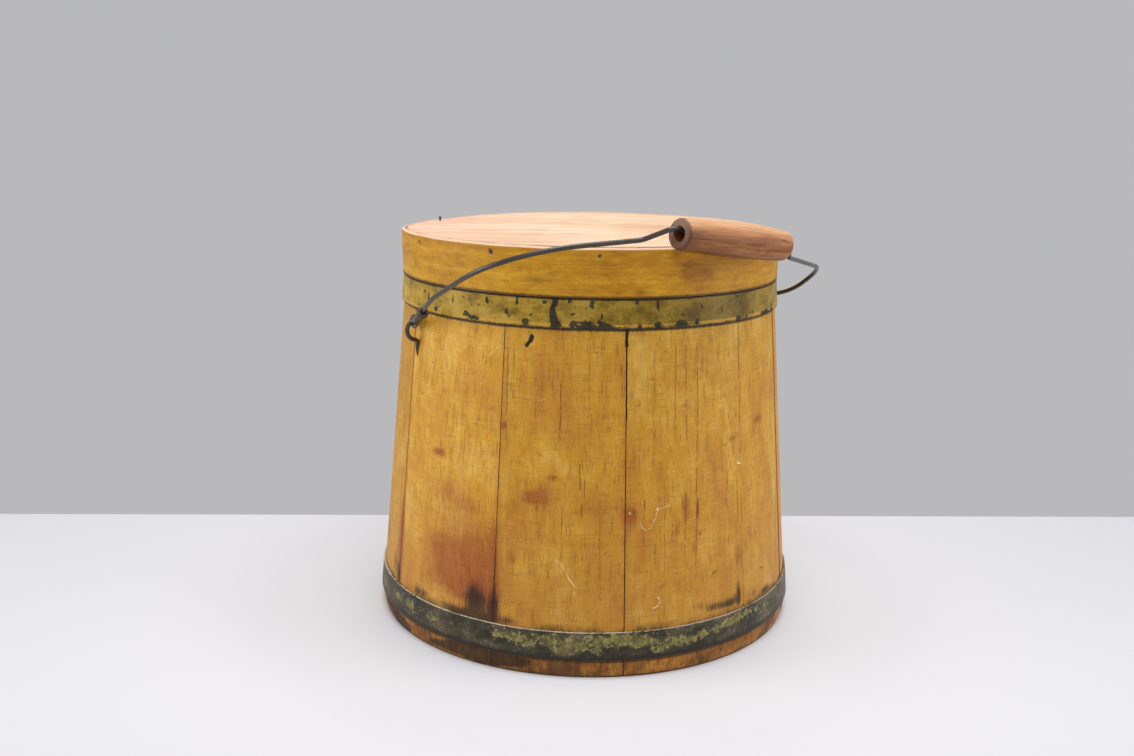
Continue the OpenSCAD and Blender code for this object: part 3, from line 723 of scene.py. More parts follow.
def strip_section(width, thick, round_r, steps=5):
    """Outline of a strip with round corners: (out, up) pairs, with out from 0 to thick."""
    quarter = np.linspace(0, math.pi / 2, steps)
    sides = []
    for cx, cy, first in ((thick - round_r, width - round_r, 0), (round_r, width - round_r, 1),
                          (round_r, round_r, 2), (thick - round_r, round_r, 3)):
        a = quarter + first * math.pi / 2
        sides.append(np.stack([cx + round_r * np.cos(a), cy + round_r * np.sin(a)], -1))
    faces = [np.concatenate([side, mids]) for side, mids in zip(sides, (
        np.zeros((0, 2)), np.stack([np.zeros(5), np.linspace(width - round_r, round_r, 7)[1:-1]], -1),
        np.zeros((0, 2)), np.stack([np.full(9, thick), np.linspace(round_r, width - round_r, 11)[1:-1]], -1)))]
    return np.concatenate(faces)


def hoop_grid(z0, spots, seed):
    """Rows go round from the lap's inner end to its outer end, which has climbed one thickness."""
    out, up = strip_section(HOOP_W, HOOP_T, 0.0005).T[:, None, :]
    lap = HOOP_LAP / wall_r(z0)
    azimuth = np.linspace(LAP_AT - lap / 2, LAP_AT + lap / 2 + 2 * math.pi, 1300)[:, None]
    climb = np.clip((azimuth - (LAP_AT + 2 * math.pi - lap / 2 - 0.05)) / 0.05, 0, 1)
    climb = HOOP_T * climb ** 2 * (3 - 2 * climb)
    arc = azimuth * ARC_R
    dents = 0.00012 * (1 + ripple(arc, up, (45, 80), seed)) * np.clip(out / HOOP_T, 0, 1)
    edge = (ripple(arc, 0 * up, (160, 0), seed + 1) * 0.00016 + ripple(arc, 0 * up, (22, 0), seed + 2) * 0.0002)
    grid = around(azimuth, wall_r(z0 + up) + out + climb + dents, z0 + up + edge * np.abs(up / HOOP_W - 0.5) * 2)
    band = np.stack(np.broadcast_arrays(arc, up / HOOP_W, out / HOOP_T + 0 * arc), -1)
    marks = bells(azimuth, z0 + up, spots, WALL_FOOT_R + HOOP_T, seed, (z0 + 0.002, z0 + 0.004, z0 + 0.009), grow=0.3)
    return grid, {"band": band, "marks": marks, "side": picture_axes(grid)[0] / wall_r(z0)}


# %% [markdown]
# The upper hoop is painted olive yellow, and the paint has flaked off in ragged dark chips, most
# of them along its lower edge. The lower hoop is nearly bare: dark iron with islands of paint.
# The marks seen in the picture are bell curves again, and noise gives them their torn edges.

# %% Hoop materials
CHIP_SPOTS = [
    (436, 308, 3, 3.4, 1.1), (429, 296, 1.7, 5, 1), (425, 291, 1.6, 3, 0.9), (453, 299, 1.5, 4.4, 1),
    (464, 297, 2, 1.6, 0.7), (470, 300, 1.6, 1.6, 0.7), (447, 307, 1.2, 1.6, 0.8), (419, 304, 1.2, 2, 0.8),
    (466, 313, 4.5, 3, 1), (475, 317, 7, 2.6, 1), (487, 300, 2.4, 4.5, 1), (479, 305, 1.3, 3, 0.9),
    (506, 311, 2.6, 3.2, 0.9), (509, 316, 1.6, 2.4, 0.9), (517, 301, 2.5, 5, 1), (525, 321, 5, 4, 1),
    (531, 314, 1.8, 2.4, 0.9), (545, 302, 3, 2.4, 0.9), (556, 301, 3.4, 4, 1), (553, 313, 3.6, 5, 1),
    (556, 322, 6, 4, 1), (570, 301, 3, 4, 0.9), (572, 315, 4.4, 2.4, 0.9), (573, 323, 4.6, 3.6, 1),
    (586, 324, 8, 4, 1), (592, 305, 3, 5.5, 1), (586, 309, 2.4, 1.8, 0.8), (605, 325, 6, 2.4, 1),
    (602, 316, 1.6, 4, 0.8), (637, 303, 3, 3.4, 0.9), (658, 305, 2.4, 7.5, 0.95), (658, 325, 4, 3.4, 1),
    (639, 325, 3.4, 2.4, 0.9), (681, 323, 9, 3.4, 1), (697, 321, 3.2, 3.4, 1), (683, 314, 5, 2, 0.75),
    (668, 316, 1.8, 2.4, 0.7), (722, 310, 1.2, 4.5, 0.9), (737, 296, 3.4, 2, 0.8), (738, 318, 3.6, 3.4, 1),
    (746, 316, 3, 2.4, 0.8), (765, 312, 6, 3, 1), (771, 309, 3.4, 2.6, 1), (702, 306, 1.2, 4, 0.7),
    (752, 311, 2.4, 2, 0.7), (520, 296, 9, 1.4, 0.7), (610, 328, 60, 1.6, 0.5), (700, 304, 2, 4, 0.5),
    (555, 302, 2.4, 5, 0.9), (552, 311, 2.6, 6, 0.9), (554, 320, 4, 5, 1), (599, 322, 3, 3, 0.8),
]
GREEN_SPOTS = [
    (398, 596, 5, 5, 0.7), (410, 604, 8, 6, 0.8), (432, 617, 9, 5, 0.75), (452, 622, 4, 2, 0.7),
    (466, 624, 3, 2, 0.8), (500, 634, 9, 5, 0.9), (517, 637, 9, 6, 1), (528, 644, 6, 6, 0.9),
    (548, 640, 12, 6, 1), (572, 646, 14, 8, 1), (560, 652, 8, 4, 0.8), (598, 642, 12, 6, 0.9),
    (596, 652, 5, 3, 0.9), (622, 641, 14, 6, 1), (645, 642, 14, 6, 1), (660, 648, 7, 5, 0.9),
    (676, 640, 10, 6, 0.9), (690, 640, 8, 5, 0.9), (703, 633, 7, 5, 1), (716, 629, 5, 4, 0.9),
    (728, 622, 9, 5, 1), (738, 617, 6, 5, 0.9), (747, 612, 5, 5, 0.9), (756, 608, 3, 3, 0.8),
    (765, 604, 3, 4, 0.6), (610, 636, 50, 3, 0.3), (720, 640, 3, 3, 0.6), (445, 612, 5, 2, 0.4),
]
PAINT_OLIVE, PAINT_DEEP, PAINT_PALE = tone(155, 124, 34), tone(116, 91, 25), tone(184, 153, 58)
# The third iron tone is the pale of rubbed iron, and it also stands in for a painted highlight on it.
IRON_GREEN, IRON_DARK, IRON_WORN_AND_GLINT = tone(66, 63, 44), tone(38, 33, 22), tone(204, 190, 168)


def band_noise(f):
    """The strip's own coordinates, and noise of four sizes on them."""
    band = f.place("band")
    flat = f.stretch(band, (1, HOOP_W, 0.001))
    cloudy = f.noise(f.stretch(flat, (1, 1.6, 1)), 48.0, 4.0, 0.62)
    ragged = f.noise(flat, 330.0, 5.0, 0.68, 0.3)
    specks = f.noise(f.stretch(flat, (1, 0.8, 1)), 760.0, 3.0, 0.6)
    brush = f.noise(f.stretch(flat, (0.08, 1, 1)), 1300.0, 2.0, 0.6)
    return f.axis(band, 1), cloudy, ragged, specks, brush


def iron_colour(f, cloudy, ragged, specks):
    iron = f.mix(f.step(cloudy + ragged * 0.3, 0.5, 0.8), IRON_DARK, IRON_GREEN)
    iron = f.mix(f.step(specks, 0.6, 0.74) * 0.55, iron, tone(112, 84, 64))
    return f.mix(f.step(ragged - cloudy * 0.4, 0.3, 0.5) * 0.3, iron, tone(80, 74, 58))


def painted_hoop():
    """Olive paint with chips down to the dark metal."""
    f = Finish("painted_hoop")
    across, cloudy, ragged, specks, brush = band_noise(f)
    paint = f.ramp(cloudy * 0.6 + ragged * 0.3 + brush * 0.1,
                   (0.4, PAINT_DEEP), (0.5, PAINT_OLIVE), (0.6, PAINT_PALE))
    paint = f.mix(f.step(cloudy - ragged * 0.5, 0.26, 0.4) * 0.4, paint, tone(170, 132, 56))
    paint = f.mix(f.step(specks, 0.6, 0.72) * 0.35, paint, tone(84, 78, 42))
    # Painted light: the paint is lighter toward the picture's left and far right and darker right of the middle,
    # standing in for how the light falls.
    paint = f.shade(paint, f.fact("side") * -0.44 + f.step(f.fact("side"), 0.7, 1.0) * 0.5 + 0.86)
    wavy = across + (ragged - 0.5) * 0.06
    bright_line = f.step(wavy, 0.05, 0.08) * (1 - f.step(wavy, 0.14, 0.18)) * f.step(cloudy * 0.6 + brush * 0.4, 0.4, 0.52)
    paint = f.mix(bright_line * 0.7, paint, tone(206, 152, 58))
    torn = (ragged - 0.5) * 1.7 + (specks - 0.5) * 0.9
    low = 1 - f.step(across, 0.02, 0.22)
    chips = f.step(f.fact("marks") + torn + low * 0.16, 0.5, 0.56)
    fine_chips = f.step(specks + (ragged - 0.5) * 1.1, 0.7, 0.75)
    bare = larger(chips, fine_chips * 0.85)
    colour = f.mix(bare, paint, iron_colour(f, cloudy, ragged, specks))
    # Painted shade along the strip's upper and lower edges, where it meets the band above and stands off the wall
    # below.
    painted_edge_shade = larger(1 - f.step(across + (ragged - 0.5) * 0.1, 0.01, 0.06),
                   f.step(across + (ragged - 0.5) * 0.08, 0.93, 0.97))
    colour = f.mix(painted_edge_shade * 0.85, colour, tone(40, 32, 26))
    relief = f.bump(bare * -1 + brush * 0.1 + cloudy * 0.5, 0.00022, 0.7)
    return f.surface({"Base Color": colour, "Roughness": bare * 0.1 + cloudy * 0.2 + 0.34,
                      "Metallic": bare * 0.1, "Normal": relief, "Specular IOR Level": 0.2})


def worn_hoop():
    """Dark iron with islands of green paint, and an upper edge rubbed bare and painted bright as a highlight."""
    f = Finish("worn_hoop")
    across, cloudy, ragged, specks, brush = band_noise(f)
    iron = iron_colour(f, cloudy, ragged, specks)
    green = f.ramp(ragged * 0.7 + specks * 0.3, (0.38, tone(84, 79, 42)), (0.5, tone(116, 107, 52)),
                   (0.62, tone(158, 146, 88)))
    hazy = f.step(f.fact("marks") + (cloudy - 0.5) * 1.2, 0.1, 0.8)
    iron = f.mix(hazy * 0.5, iron, tone(96, 91, 56))
    torn = (ragged - 0.5) * 2.4 + (specks - 0.5) * 1.4
    left = f.step(f.fact("marks") * 0.9 + torn, 0.46, 0.62) * f.step(across, 0.1, 0.22)
    colour = f.mix(left * 0.8, iron, green)
    colour = f.mix(f.step(cloudy, 0.56, 0.66) * (1 - left) * 0.4, colour, tone(104, 78, 60))
    colour = f.mix(f.step(specks + cloudy * 0.4, 0.82, 0.92) * 0.6, colour, tone(164, 142, 118))
    # Painted sheen: the iron is lighter toward the picture's left and right ends.
    painted_side_sheen = f.step(f.fact("side"), 0.7, 1.0) * 0.8 + (1 - f.step(f.fact("side"), -1.0, -0.7)) * 0.5
    colour = f.shade(colour, painted_side_sheen + 1.05)
    # The upper edge is rubbed bare, and it is also painted pale as a highlight, more strongly toward the picture's
    # left.
    rubbed_edge_and_glint = f.step(across + (ragged - 0.5) * 0.016, 0.978, 0.988) * f.step(cloudy * 0.5 + specks * 0.5, 0.38, 0.52)
    colour = f.mix(rubbed_edge_and_glint * (0.7 - f.fact("side") * 0.25), colour, IRON_WORN_AND_GLINT)
    # Dirt and painted shade along the strip's lower edge.
    dirt_and_shade_low = 1 - f.step(across + (ragged - 0.5) * 0.1, 0.05, 0.22)
    colour = f.mix(dirt_and_shade_low * 0.8, colour, tone(32, 28, 22))
    relief = f.bump(left * 0.8 + brush * 0.1 + cloudy * 0.6 + specks * 0.3, 0.00022, 0.7)
    return f.surface({"Base Color": colour, "Roughness": ragged * 0.2 + 0.4, "Metallic": 0.12 - left * 0.1,
                      "Normal": relief, "Specular IOR Level": 0.3})


painted_iron, worn_iron = painted_hoop(), worn_hoop()
for node, z0, spots, seed, finish in (("top_hoop", TOP_HOOP_LOW, CHIP_SPOTS, 200, painted_iron),
                                      ("bottom_hoop", LOW_HOOP_LOW, GREEN_SPOTS, 300, worn_iron)):
    grid, facts = hoop_grid(z0, spots, seed)
    hoop = make_piece(node + "_strip", [(grid, False)], "bucket", node + "_metal", [node], facts)
    hoop.data.materials.append(finish)
print("two hoops of", grid.shape[0], "by", grid.shape[1], "points")

# %% [markdown]
# Each lap is held by two rivets, hammered by hand. A rivet's head is a profile turned about an
# axis that stands square on the hoop.

# %% Turned shapes and rivets
def turned(profile, sides=28):
    """A profile of (radius, height) pairs turned about Z."""
    turn = np.linspace(0, 2 * math.pi, sides, endpoint=False)[None, :]
    r, h = np.array(profile).T[:, :, None]
    return np.stack([r * np.cos(turn), r * np.sin(turn), h + 0 * turn], -1)


def stand(grid, foot, up):
    """Moves a turned shape so that its axis leaves the point foot along up."""
    up = unit(np.array(up, float))
    side = unit(np.cross(up, (0.3, 0.2, 0.9)))
    other = np.cross(up, side)
    return np.array(foot) + grid @ np.stack([side, other, up])


def head_profile(r, high, steps=8):
    """A domed head: a low arch from a small flat top down to the rim, and a flat underside."""
    a = np.linspace(0.06, math.pi / 2, steps)
    dome = np.stack([r * np.sin(a), high * np.cos(a) ** 0.8], -1)
    return np.concatenate([dome, [(r * 0.97, -0.0003), (r * 0.2, -0.0003)]])


RIVET_R, RIVET_HIGH, RIVET_APART = 0.0035, 0.0015, 0.017
for node, z0, finish in (("top_hoop", TOP_HOOP_LOW, painted_iron), ("bottom_hoop", LOW_HOOP_LOW, worn_iron)):
    z = z0 + HOOP_W / 2
    shells, bands = [], []
    for k in (-0.5, 0.5):
        azimuth = LAP_AT + k * RIVET_APART / wall_r(z)
        foot = around(np.array(azimuth), wall_r(z) + 2 * HOOP_T + 0.0002, z)
        up = (math.sin(azimuth), -math.cos(azimuth), WALL_TAPER)
        head = turned(head_profile(RIVET_R, RIVET_HIGH))
        shells.append((stand(head, foot, up), False))
        bands.append(head * 1 + (k * 0.1, 0.6, 0))
    bands = np.concatenate(bands)
    rivets = make_piece(node + "_rivet_heads", shells, "bucket", node + "_metal", [node + "_rivets"],
                        {"band": bands, "marks": 0 * bands[..., 0], "side": 0 * bands[..., 0]})
    rivets.data.materials.append(finish)
print("four rivets")

# %% [markdown]
# ## Wire work
# The ears are heavy iron wire, bent out into a D and driven into the wall by a thin tail. The bail
# is thinner wire: it hooks round the ear, and its end is wound round its own stem. Wire is a
# circle carried along a path. Corners become arcs, so that wire bends as it would by hand.

# %% Paths with round corners
def even_steps(path, step):
    """The same path with its points in equal steps."""
    far = np.concatenate([[0], np.cumsum(np.linalg.norm(np.diff(path, axis=0), axis=1))])
    even = np.linspace(0, far[-1], int(far[-1] / step) + 2)
    return np.stack([np.interp(even, far, path[:, k]) for k in range(3)], -1)


def bent(corners, radii, step=0.0012):
    """A path through corners, where each inner corner is an arc of its own radius."""
    corners = np.array(corners, float)
    runs = [corners[:1]]
    for i in range(1, len(corners) - 1):
        back, on = unit(corners[i - 1] - corners[i]), unit(corners[i + 1] - corners[i])
        half = math.acos(float(np.clip(back @ on, -1, 1))) / 2
        middle = corners[i] + unit(back + on) * radii[i] / math.sin(half)
        first = corners[i] + back * radii[i] / math.tan(half) - middle
        last = corners[i] + on * radii[i] / math.tan(half) - middle
        sweep = math.pi - 2 * half
        share = np.linspace(0, 1, max(3, int(radii[i] * sweep / step)))[:, None]
        runs.append(middle + (np.sin((1 - share) * sweep) * first + np.sin(share * sweep) * last) / math.sin(sweep))
    runs.append(corners[-1:])
    return even_steps(np.concatenate(runs), step)


# %% Ears
PIVOT_Z = 0.223
EYE_X = wall_r(PIVOT_Z) + 0.0046
EAR_ROD_R, LOOP_R, TAIL_TIP_Z = 0.0015, 0.0055, 0.1955


def ear_grid(side):
    """The ear's wire in the plane of the axis: out from under the hoop, round the D, and down."""
    low_z = PIVOT_Z - 2.3 * LOOP_R
    loop = np.linspace(math.pi / 2, -math.pi / 2, 15)
    d_x = EYE_X + LOOP_R * np.cos(loop)
    d_z = PIVOT_Z - LOOP_R + LOOP_R * np.where(loop > 0, 1, 1.3) * np.sin(loop)
    x = [wall_r(0.236) - 0.001, EYE_X - 0.0037, *d_x, wall_r(low_z) + 0.0012, wall_r(0.203) + 0.0011,
         wall_r(TAIL_TIP_Z) - 0.0012]
    z = [0.236, PIVOT_Z + 0.0002, *d_z, low_z - 0.001, 0.203, TAIL_TIP_Z]
    path = np.stack([side * np.array(x), np.zeros(len(x)), np.array(z)], -1)
    radii = [0, 0.002] + [0.0001] * len(d_x) + [0.002, 0.02, 0]
    path = bent(path, radii, 0.0006)
    path[:, 1] += 0.0016 * np.clip((0.213 - path[:, 2]) / 0.016, 0, 1) ** 1.5
    thin = np.clip((path[:, 2] - TAIL_TIP_Z) / 0.014, 0.22, 1)
    return tube(path, round_ends(path, EAR_ROD_R * thin, 0.0006), (0, 1, 0), 16), path


# %% Bail path
WIRE_R, EYE_RING_R = 0.0016, 0.0035
BAIL_SHAPE = [
    [-1, 0, 0], [-1.068, -0.319, 0.152], [-1.027, -0.938, 0.432], [-0.365, -0.992, 0.465],
    [-0.289, -1.107, 0.523], [0.464, -1.013, 0.423], [0.483, -0.985, 0.346],
    [1.011, -0.653, 0.228], [1.025, -0.42, 0.074], [1, 0, 0],
]
BAIL_BENDS = [0, 0.1, 0.06, 0.006, 0.006, 0.0045, 0.0045, 0.036, 0.09, 0]
bail_corners = np.array(BAIL_SHAPE) * EYE_X + (0, 0, PIVOT_Z)


def eye_start(end, toward):
    """Where the stem leaves its eye: beside the eye's middle, square to the stem."""
    along = unit(np.array([0, toward[1] - end[1], toward[2] - end[2]]))
    return end + EYE_RING_R * np.cross((1, 0, 0), along), along


FOLD_FROM, FOLD_BESIDE, WIND_FROM, WIND_TO, TURNS = 0.0046, 0.012, 0.0255, 0.0305, 1.45
END_THIN, END_STEP, END_EASE = 0.72, 0.0004, 7


def wire_end(end, toward):
    """The hook round the ear's rod, the end folded back along the stem, and its turns round it."""
    start, along = eye_start(end, toward)
    below = (start - end) / EYE_RING_R
    a = np.linspace(0, math.radians(240), 30)[:, None]
    hook = end + EYE_RING_R * (below * np.cos(a) - along * np.sin(a))
    stem_way = unit(toward - start)
    outward = unit(np.array((end[0], 0, 0)) - stem_way * stem_way[0] * end[0])
    far = np.linspace(FOLD_FROM, WIND_TO, 400)[:, None]
    beside = np.clip((far - FOLD_FROM) / (FOLD_BESIDE - FOLD_FROM), 0, 1)
    wound = np.clip((far - WIND_FROM) / (WIND_TO - WIND_FROM), 0, 1) ** 1.3
    a = math.pi / 2 * beside ** 2 * (3 - 2 * beside) + 2 * math.pi * TURNS * wound
    apart = WIRE_R * (1 + END_THIN) * (1 + 0.12 * wound ** 12)
    fold = start + stem_way * far + apart * (outward * np.sin(a) - below * np.cos(a))
    path = even_steps(np.concatenate([hook, fold]), END_STEP)
    held = np.pad(path, ((END_EASE // 2, END_EASE // 2), (0, 0)), "edge")
    return np.stack([np.convolve(held[:, k], np.ones(END_EASE) / END_EASE, "valid") for k in range(3)], -1)


# %% Wire material and pieces
def wire_material(name, colour, rust, shine):
    f = Finish(name)
    spot = f.node("ShaderNodeTexCoord", out=3)
    patchy = f.noise(spot, 160.0, 4.0, 0.6)
    pitted = f.noise(spot, 900.0, 3.0, 0.6)
    base = f.mix(f.step(patchy, 0.48, 0.7) * 0.7, colour, rust)
    base = f.mix(f.step(pitted, 0.6, 0.72) * 0.6, base, IRON_DARK)
    relief = f.bump(pitted + patchy * 0.6, 0.00025, 0.4)
    return f.surface({"Base Color": base, "Roughness": patchy * 0.3 + shine, "Metallic": patchy * 0.3 + 0.1,
                      "Normal": relief, "Coat Weight": 0.25, "Coat Roughness": 0.14})


grey_wire = wire_material("bail_wire_steel", tone(56, 51, 44), tone(68, 53, 38), 0.12)
ear_wire = wire_material("ear_iron", tone(58, 53, 45), tone(90, 72, 50), 0.42)
for node, side in (("left_ear", -1), ("right_ear", 1)):
    ear = make_piece(node + "_wire", [(ear_grid(side)[0], False)], "bucket", "ear_iron", [node])
    ear.data.materials.append(ear_wire)

starts = [eye_start(bail_corners[k], bail_corners[m])[0] for k, m in ((0, 1), (-1, -2))]
stem = bent(np.concatenate([starts[:1], bail_corners[1:-1], starts[1:]]), BAIL_BENDS)
shells = [(tube(stem, WIRE_R, (0, -0.42, 0.9)), False)]
for k, m in ((0, 1), (-1, -2)):
    path = wire_end(bail_corners[k], bail_corners[m])
    thin = np.linspace(1.2, END_THIN, len(path)).clip(END_THIN, 1)
    shells.append((tube(path, round_ends(path, WIRE_R * thin, 0.0008), (1, 0, 0)), False))
bail = make_piece("bail_bent_wire", shells, "bail", "wire_steel", ["bail_wire"])
bail.data.materials.append(grey_wire)
print("bail stem of", len(stem), "rings")

# %% [markdown]
# ## The grip
# The grip was turned on a lathe: a barrel a little fuller at its middle, with rounded ends and a
# bore. Its outline and its bore make one closed loop, which is turned about its axis. It hangs on
# the wire by the top of its bore.

# %% Grip
GRIP_L, GRIP_MID_R, GRIP_END_R, BORE_R = 0.097, 0.011, 0.010, 0.0046
grip_a, grip_b = bail_corners[4], bail_corners[5]
grip_dir = unit(grip_b - grip_a)
grip_down = unit(np.cross(grip_dir, np.cross((0, 0, -1), grip_dir)))
grip_mid = (grip_a + grip_b) / 2 + grip_down * (BORE_R - WIRE_R - 0.00005)


def grip_outline():
    """Radius and place along the axis: a bulging barrel, quarter rounds at both ends, the bore."""
    half = GRIP_L / 2
    x = np.linspace(-half + 0.0022, half - 0.004, 46)
    barrel = np.stack([GRIP_END_R + (GRIP_MID_R - GRIP_END_R) * (1 - (x / half) ** 2), x], -1)
    a = np.linspace(0, math.pi / 2, 9)[1:]
    right = np.stack([barrel[-1, 0] - 0.0036 * (1 - np.cos(a)), x[-1] + 0.004 * np.sin(a)], -1)
    left = np.stack([barrel[0, 0] - 0.0018 * (1 - np.cos(a)), x[0] - 0.0022 * np.sin(a)], -1)[::-1]
    bore_x = np.linspace(half - 0.0006, -half + 0.0006, 18)
    bore = np.stack([np.full(18, BORE_R), bore_x], -1)
    lips = [[(BORE_R + 0.0006, half)], [(BORE_R + 0.0006, -half)]]
    return np.concatenate([barrel, right, lips[0], bore, lips[1], left])


local = turned(grip_outline(), 72)
at_end = np.clip((np.abs(local[..., 2]) - GRIP_L / 2 + 0.0022) / 0.0014, 0, 1)
turn_a = np.arctan2(local[..., 1], local[..., 0])
local[..., :2] *= 1 + 0.006 * ripple(turn_a, local[..., 2], (1.5, 60), 33)[..., None]
axes = np.stack([unit(np.cross(grip_dir, grip_down)), grip_down, grip_dir])
facing_up = (local[..., :2] @ axes[:2])[..., 2] / np.linalg.norm(local[..., :2], axis=-1)
grain = np.stack([local[..., 2], local[..., 0], local[..., 1]], -1)
grip = make_piece("turned_grip", [(grip_mid + local @ axes, True)], "grip", "grip_wood", ["bail_grip"],
                  {"grain": grain, "end": at_end, "top": facing_up})

f = Finish("grip_hardwood")
grain = f.place("grain")
broad, lines, saw = wood_lines(f, grain, f.axis(grain, 0) * 0, 0.05, 2600.0)
rings = f.noise(f.stretch(grain, (0.06, 1, 0.5)), 420.0, 3.0, 0.6, 0.8)
colour = f.ramp(broad * 0.4 + rings * 0.6, (0.36, tone(108, 58, 24)), (0.5, tone(150, 92, 44)), (0.64, tone(186, 124, 66)))
colour = f.mix(lines * 0.45, colour, tone(110, 60, 32))
marks = f.noise(f.stretch(grain, (0.7, 0.6, 0.6)), 150.0, 4.0, 0.6)
colour = f.mix(f.step(marks, 0.56, 0.7) * 0.55, colour, tone(120, 66, 38))
# Painted light: the upper side is painted pale as a highlight, and the grip is scaled darker toward its underside as
# painted shade.
painted_top_highlight = f.step(f.fact("top") + (rings - 0.5) * 0.5, 0.2, 0.95)
colour = f.mix(painted_top_highlight * 0.64, colour, tone(226, 176, 134))
colour = f.shade(colour, f.step(f.fact("top"), -0.5, 0.5) * 0.18 + 0.86)
ends = f.step(f.fact("end") + (marks - 0.5) * 0.5, 0.3, 0.8)
colour = f.mix(ends * 0.75, colour, tone(90, 62, 52))
relief = f.bump(lines * -0.6 + rings * 0.4, 0.0003, 0.5)
grip.data.materials.append(f.surface({"Base Color": colour, "Roughness": rings * 0.2 + 0.34, "Normal": relief,
                                      "Specular IOR Level": 0.3}))
print("grip middle at", grip_mid.round(4))

# %% [markdown]
# ## The lid
# The lid is one pine board in a band of thin wood, bent round while wet and lapped. Its top is
# scrubbed pale, and its grain runs across the picture. The board has shrunk, so that a fine gap
# shows inside the band, whose upper edge is worn to bare wood. The gap's shade is painted on
# the board's edge as a dark line.

# %% Lid board
LID_LOW, LID_TOP = 0.270, 0.283
BOARD_R = RIM_IN_R - 0.0004


def lid_dip(azimuth):
    """How far the lid's edge has warped down at an azimuth: most at the picture's back left."""
    turn = (azimuth + PICTURE_TURN + math.pi) % (2 * math.pi) - math.pi
    off = (turn + math.radians(115) + math.pi) % (2 * math.pi) - math.pi
    return 0.0009 * (1 - np.cos(turn)) / 2 + 0.0021 * np.exp(-(off / math.radians(32)) ** 2)


def board_grid(sides=240):
    """Rows go from the top's middle out to the round edge, and back in below."""
    r_top = np.concatenate([[0.002], np.linspace(0.006, BOARD_R - 0.0008, 52)])
    a = np.linspace(0, math.pi / 2, 5)[1:]
    edge_r, edge_z = BOARD_R - 0.0008 + 0.0008 * np.sin(a), LID_TOP - 0.0008 + 0.0008 * np.cos(a)
    r = np.concatenate([r_top, edge_r, [BOARD_R, BOARD_R - 0.001, 0.06, 0.002]])
    z = np.concatenate([np.full(len(r_top), LID_TOP), edge_z, [LID_LOW + 0.001, LID_LOW, LID_LOW, LID_LOW]])
    on_top = np.concatenate([np.ones(len(r_top)), np.zeros(len(r) - len(r_top))])
    azimuth = np.linspace(0, 2 * math.pi, sides, endpoint=False)[None, :]
    grid = around(azimuth, r[:, None], z[:, None])
    along, over = picture_axes(grid)
    worn = 0.0001 * (1 + ripple(along, over, (12, 260), 51)) + 0.0001 * (1 + ripple(along, over, (20, 30), 52))
    warp = lid_dip(azimuth) * (r[:, None] / BOARD_R) ** 2 * np.clip((z[:, None] - LID_LOW) / 0.012, 0, 1)
    grid[..., 2] -= on_top[:, None] * worn + warp
    facts = {"grain": np.stack([along, over, grid[..., 2]], -1), "out": r[:, None] / BOARD_R + 0 * along}
    return grid, facts


grid, facts = board_grid()
board = make_piece("lid_pine_board", [(grid, False)], "lid", "lid_wood", ["lid_board"], facts)

f = Finish("scrubbed_pine")
grain = f.place("grain")
broad, lines, saw = wood_lines(f, grain, f.axis(grain, 0) * 0, 0.03, 900.0)
cathedral = f.noise(f.stretch(grain, (0.16, 1, 1)), 46.0, 2.0, 0.5, 1.6)
rings = f.node("ShaderNodeMath", {"operation": "PINGPONG"}, {0: cathedral * 9.0, 1: 1.0})
cloudy = f.noise(grain, 16.0, 3.0, 0.6)
colour = f.ramp(broad * 0.6 + cloudy * 0.4, (0.38, tone(202, 160, 126)), (0.5, tone(220, 190, 158)), (0.62, tone(228, 206, 180)))
across = f.axis(grain, 0)
colour = f.mix((1 - f.step(across + (cloudy - 0.5) * 0.1, -0.13, -0.02)) * 0.6, colour, tone(226, 178, 156))
colour = f.mix(f.step(rings, 0.6, 0.95) * 0.44, colour, tone(208, 154, 104))
colour = f.mix(lines * 0.42, colour, tone(176, 124, 100))
colour = f.mix(f.step(across + (cloudy - 0.5) * 0.1, 0.0, 0.13) * 0.4, colour, tone(204, 152, 106))
# Painted shade of the gap between board and band: a broken dark line along the board's outer edge.
gap_shade_line = f.step(f.fact("out"), 0.985, 0.995) * f.step(cloudy, 0.38, 0.52)
colour = f.mix(gap_shade_line * 0.8, colour, tone(138, 104, 86))
relief = f.bump(rings * -0.5 + lines * -0.4 + saw * 0.1, 0.0003, 0.5)
board.data.materials.append(f.surface({"Base Color": colour, "Roughness": cloudy * 0.12 + 0.56, "Normal": relief}))
print("lid board radius", round(BOARD_R * 1000, 1), "mm")

# %% [markdown]
# The band is carried once round, with a small step where its outer end laps over the rest. Its
# upper edge is worn down unevenly, and its lower edge stands a hair above the upper hoop.

# %% Lid band
RIM_LOW = 0.2503
RIM_LAP_AT, RIM_STEP = math.radians(149), 0.0006
WORN_H, WORN_W = 0.0015, 0.0014
RIM_SPOTS = [
    (420.6, 243, 4, 3, 0.8), (428, 245, 1.5, 1.5, 0.8), (415, 262, 3, 8, 0.6), (610, 262, 6, 10, 0.4),
    (688, 270, 9, 12, 0.75), (676, 256, 8, 10, 0.6), (640, 293, 8, 4, 0.8), (700, 290, 10, 4, 0.4),
    (540, 280, 20, 5, 0.6), (500, 262, 8, 5, 0.3), (603, 262, 5, 4, 0.5), (617, 277, 4, 4, 0.4),
    (617, 252, 6, 4, 0.5), (480, 262, 4, 8, 0.3), (735, 285, 4, 5, 0.4), (744, 262, 3, 10, 0.3),
    (704, 268, 14, 16, 0.35), (706, 276, 26, 14, 0.45), (552, 273, 8, 3, 0.4), (574, 290, 8, 3, 0.5), (456, 270, 6, 5, 0.25),
]


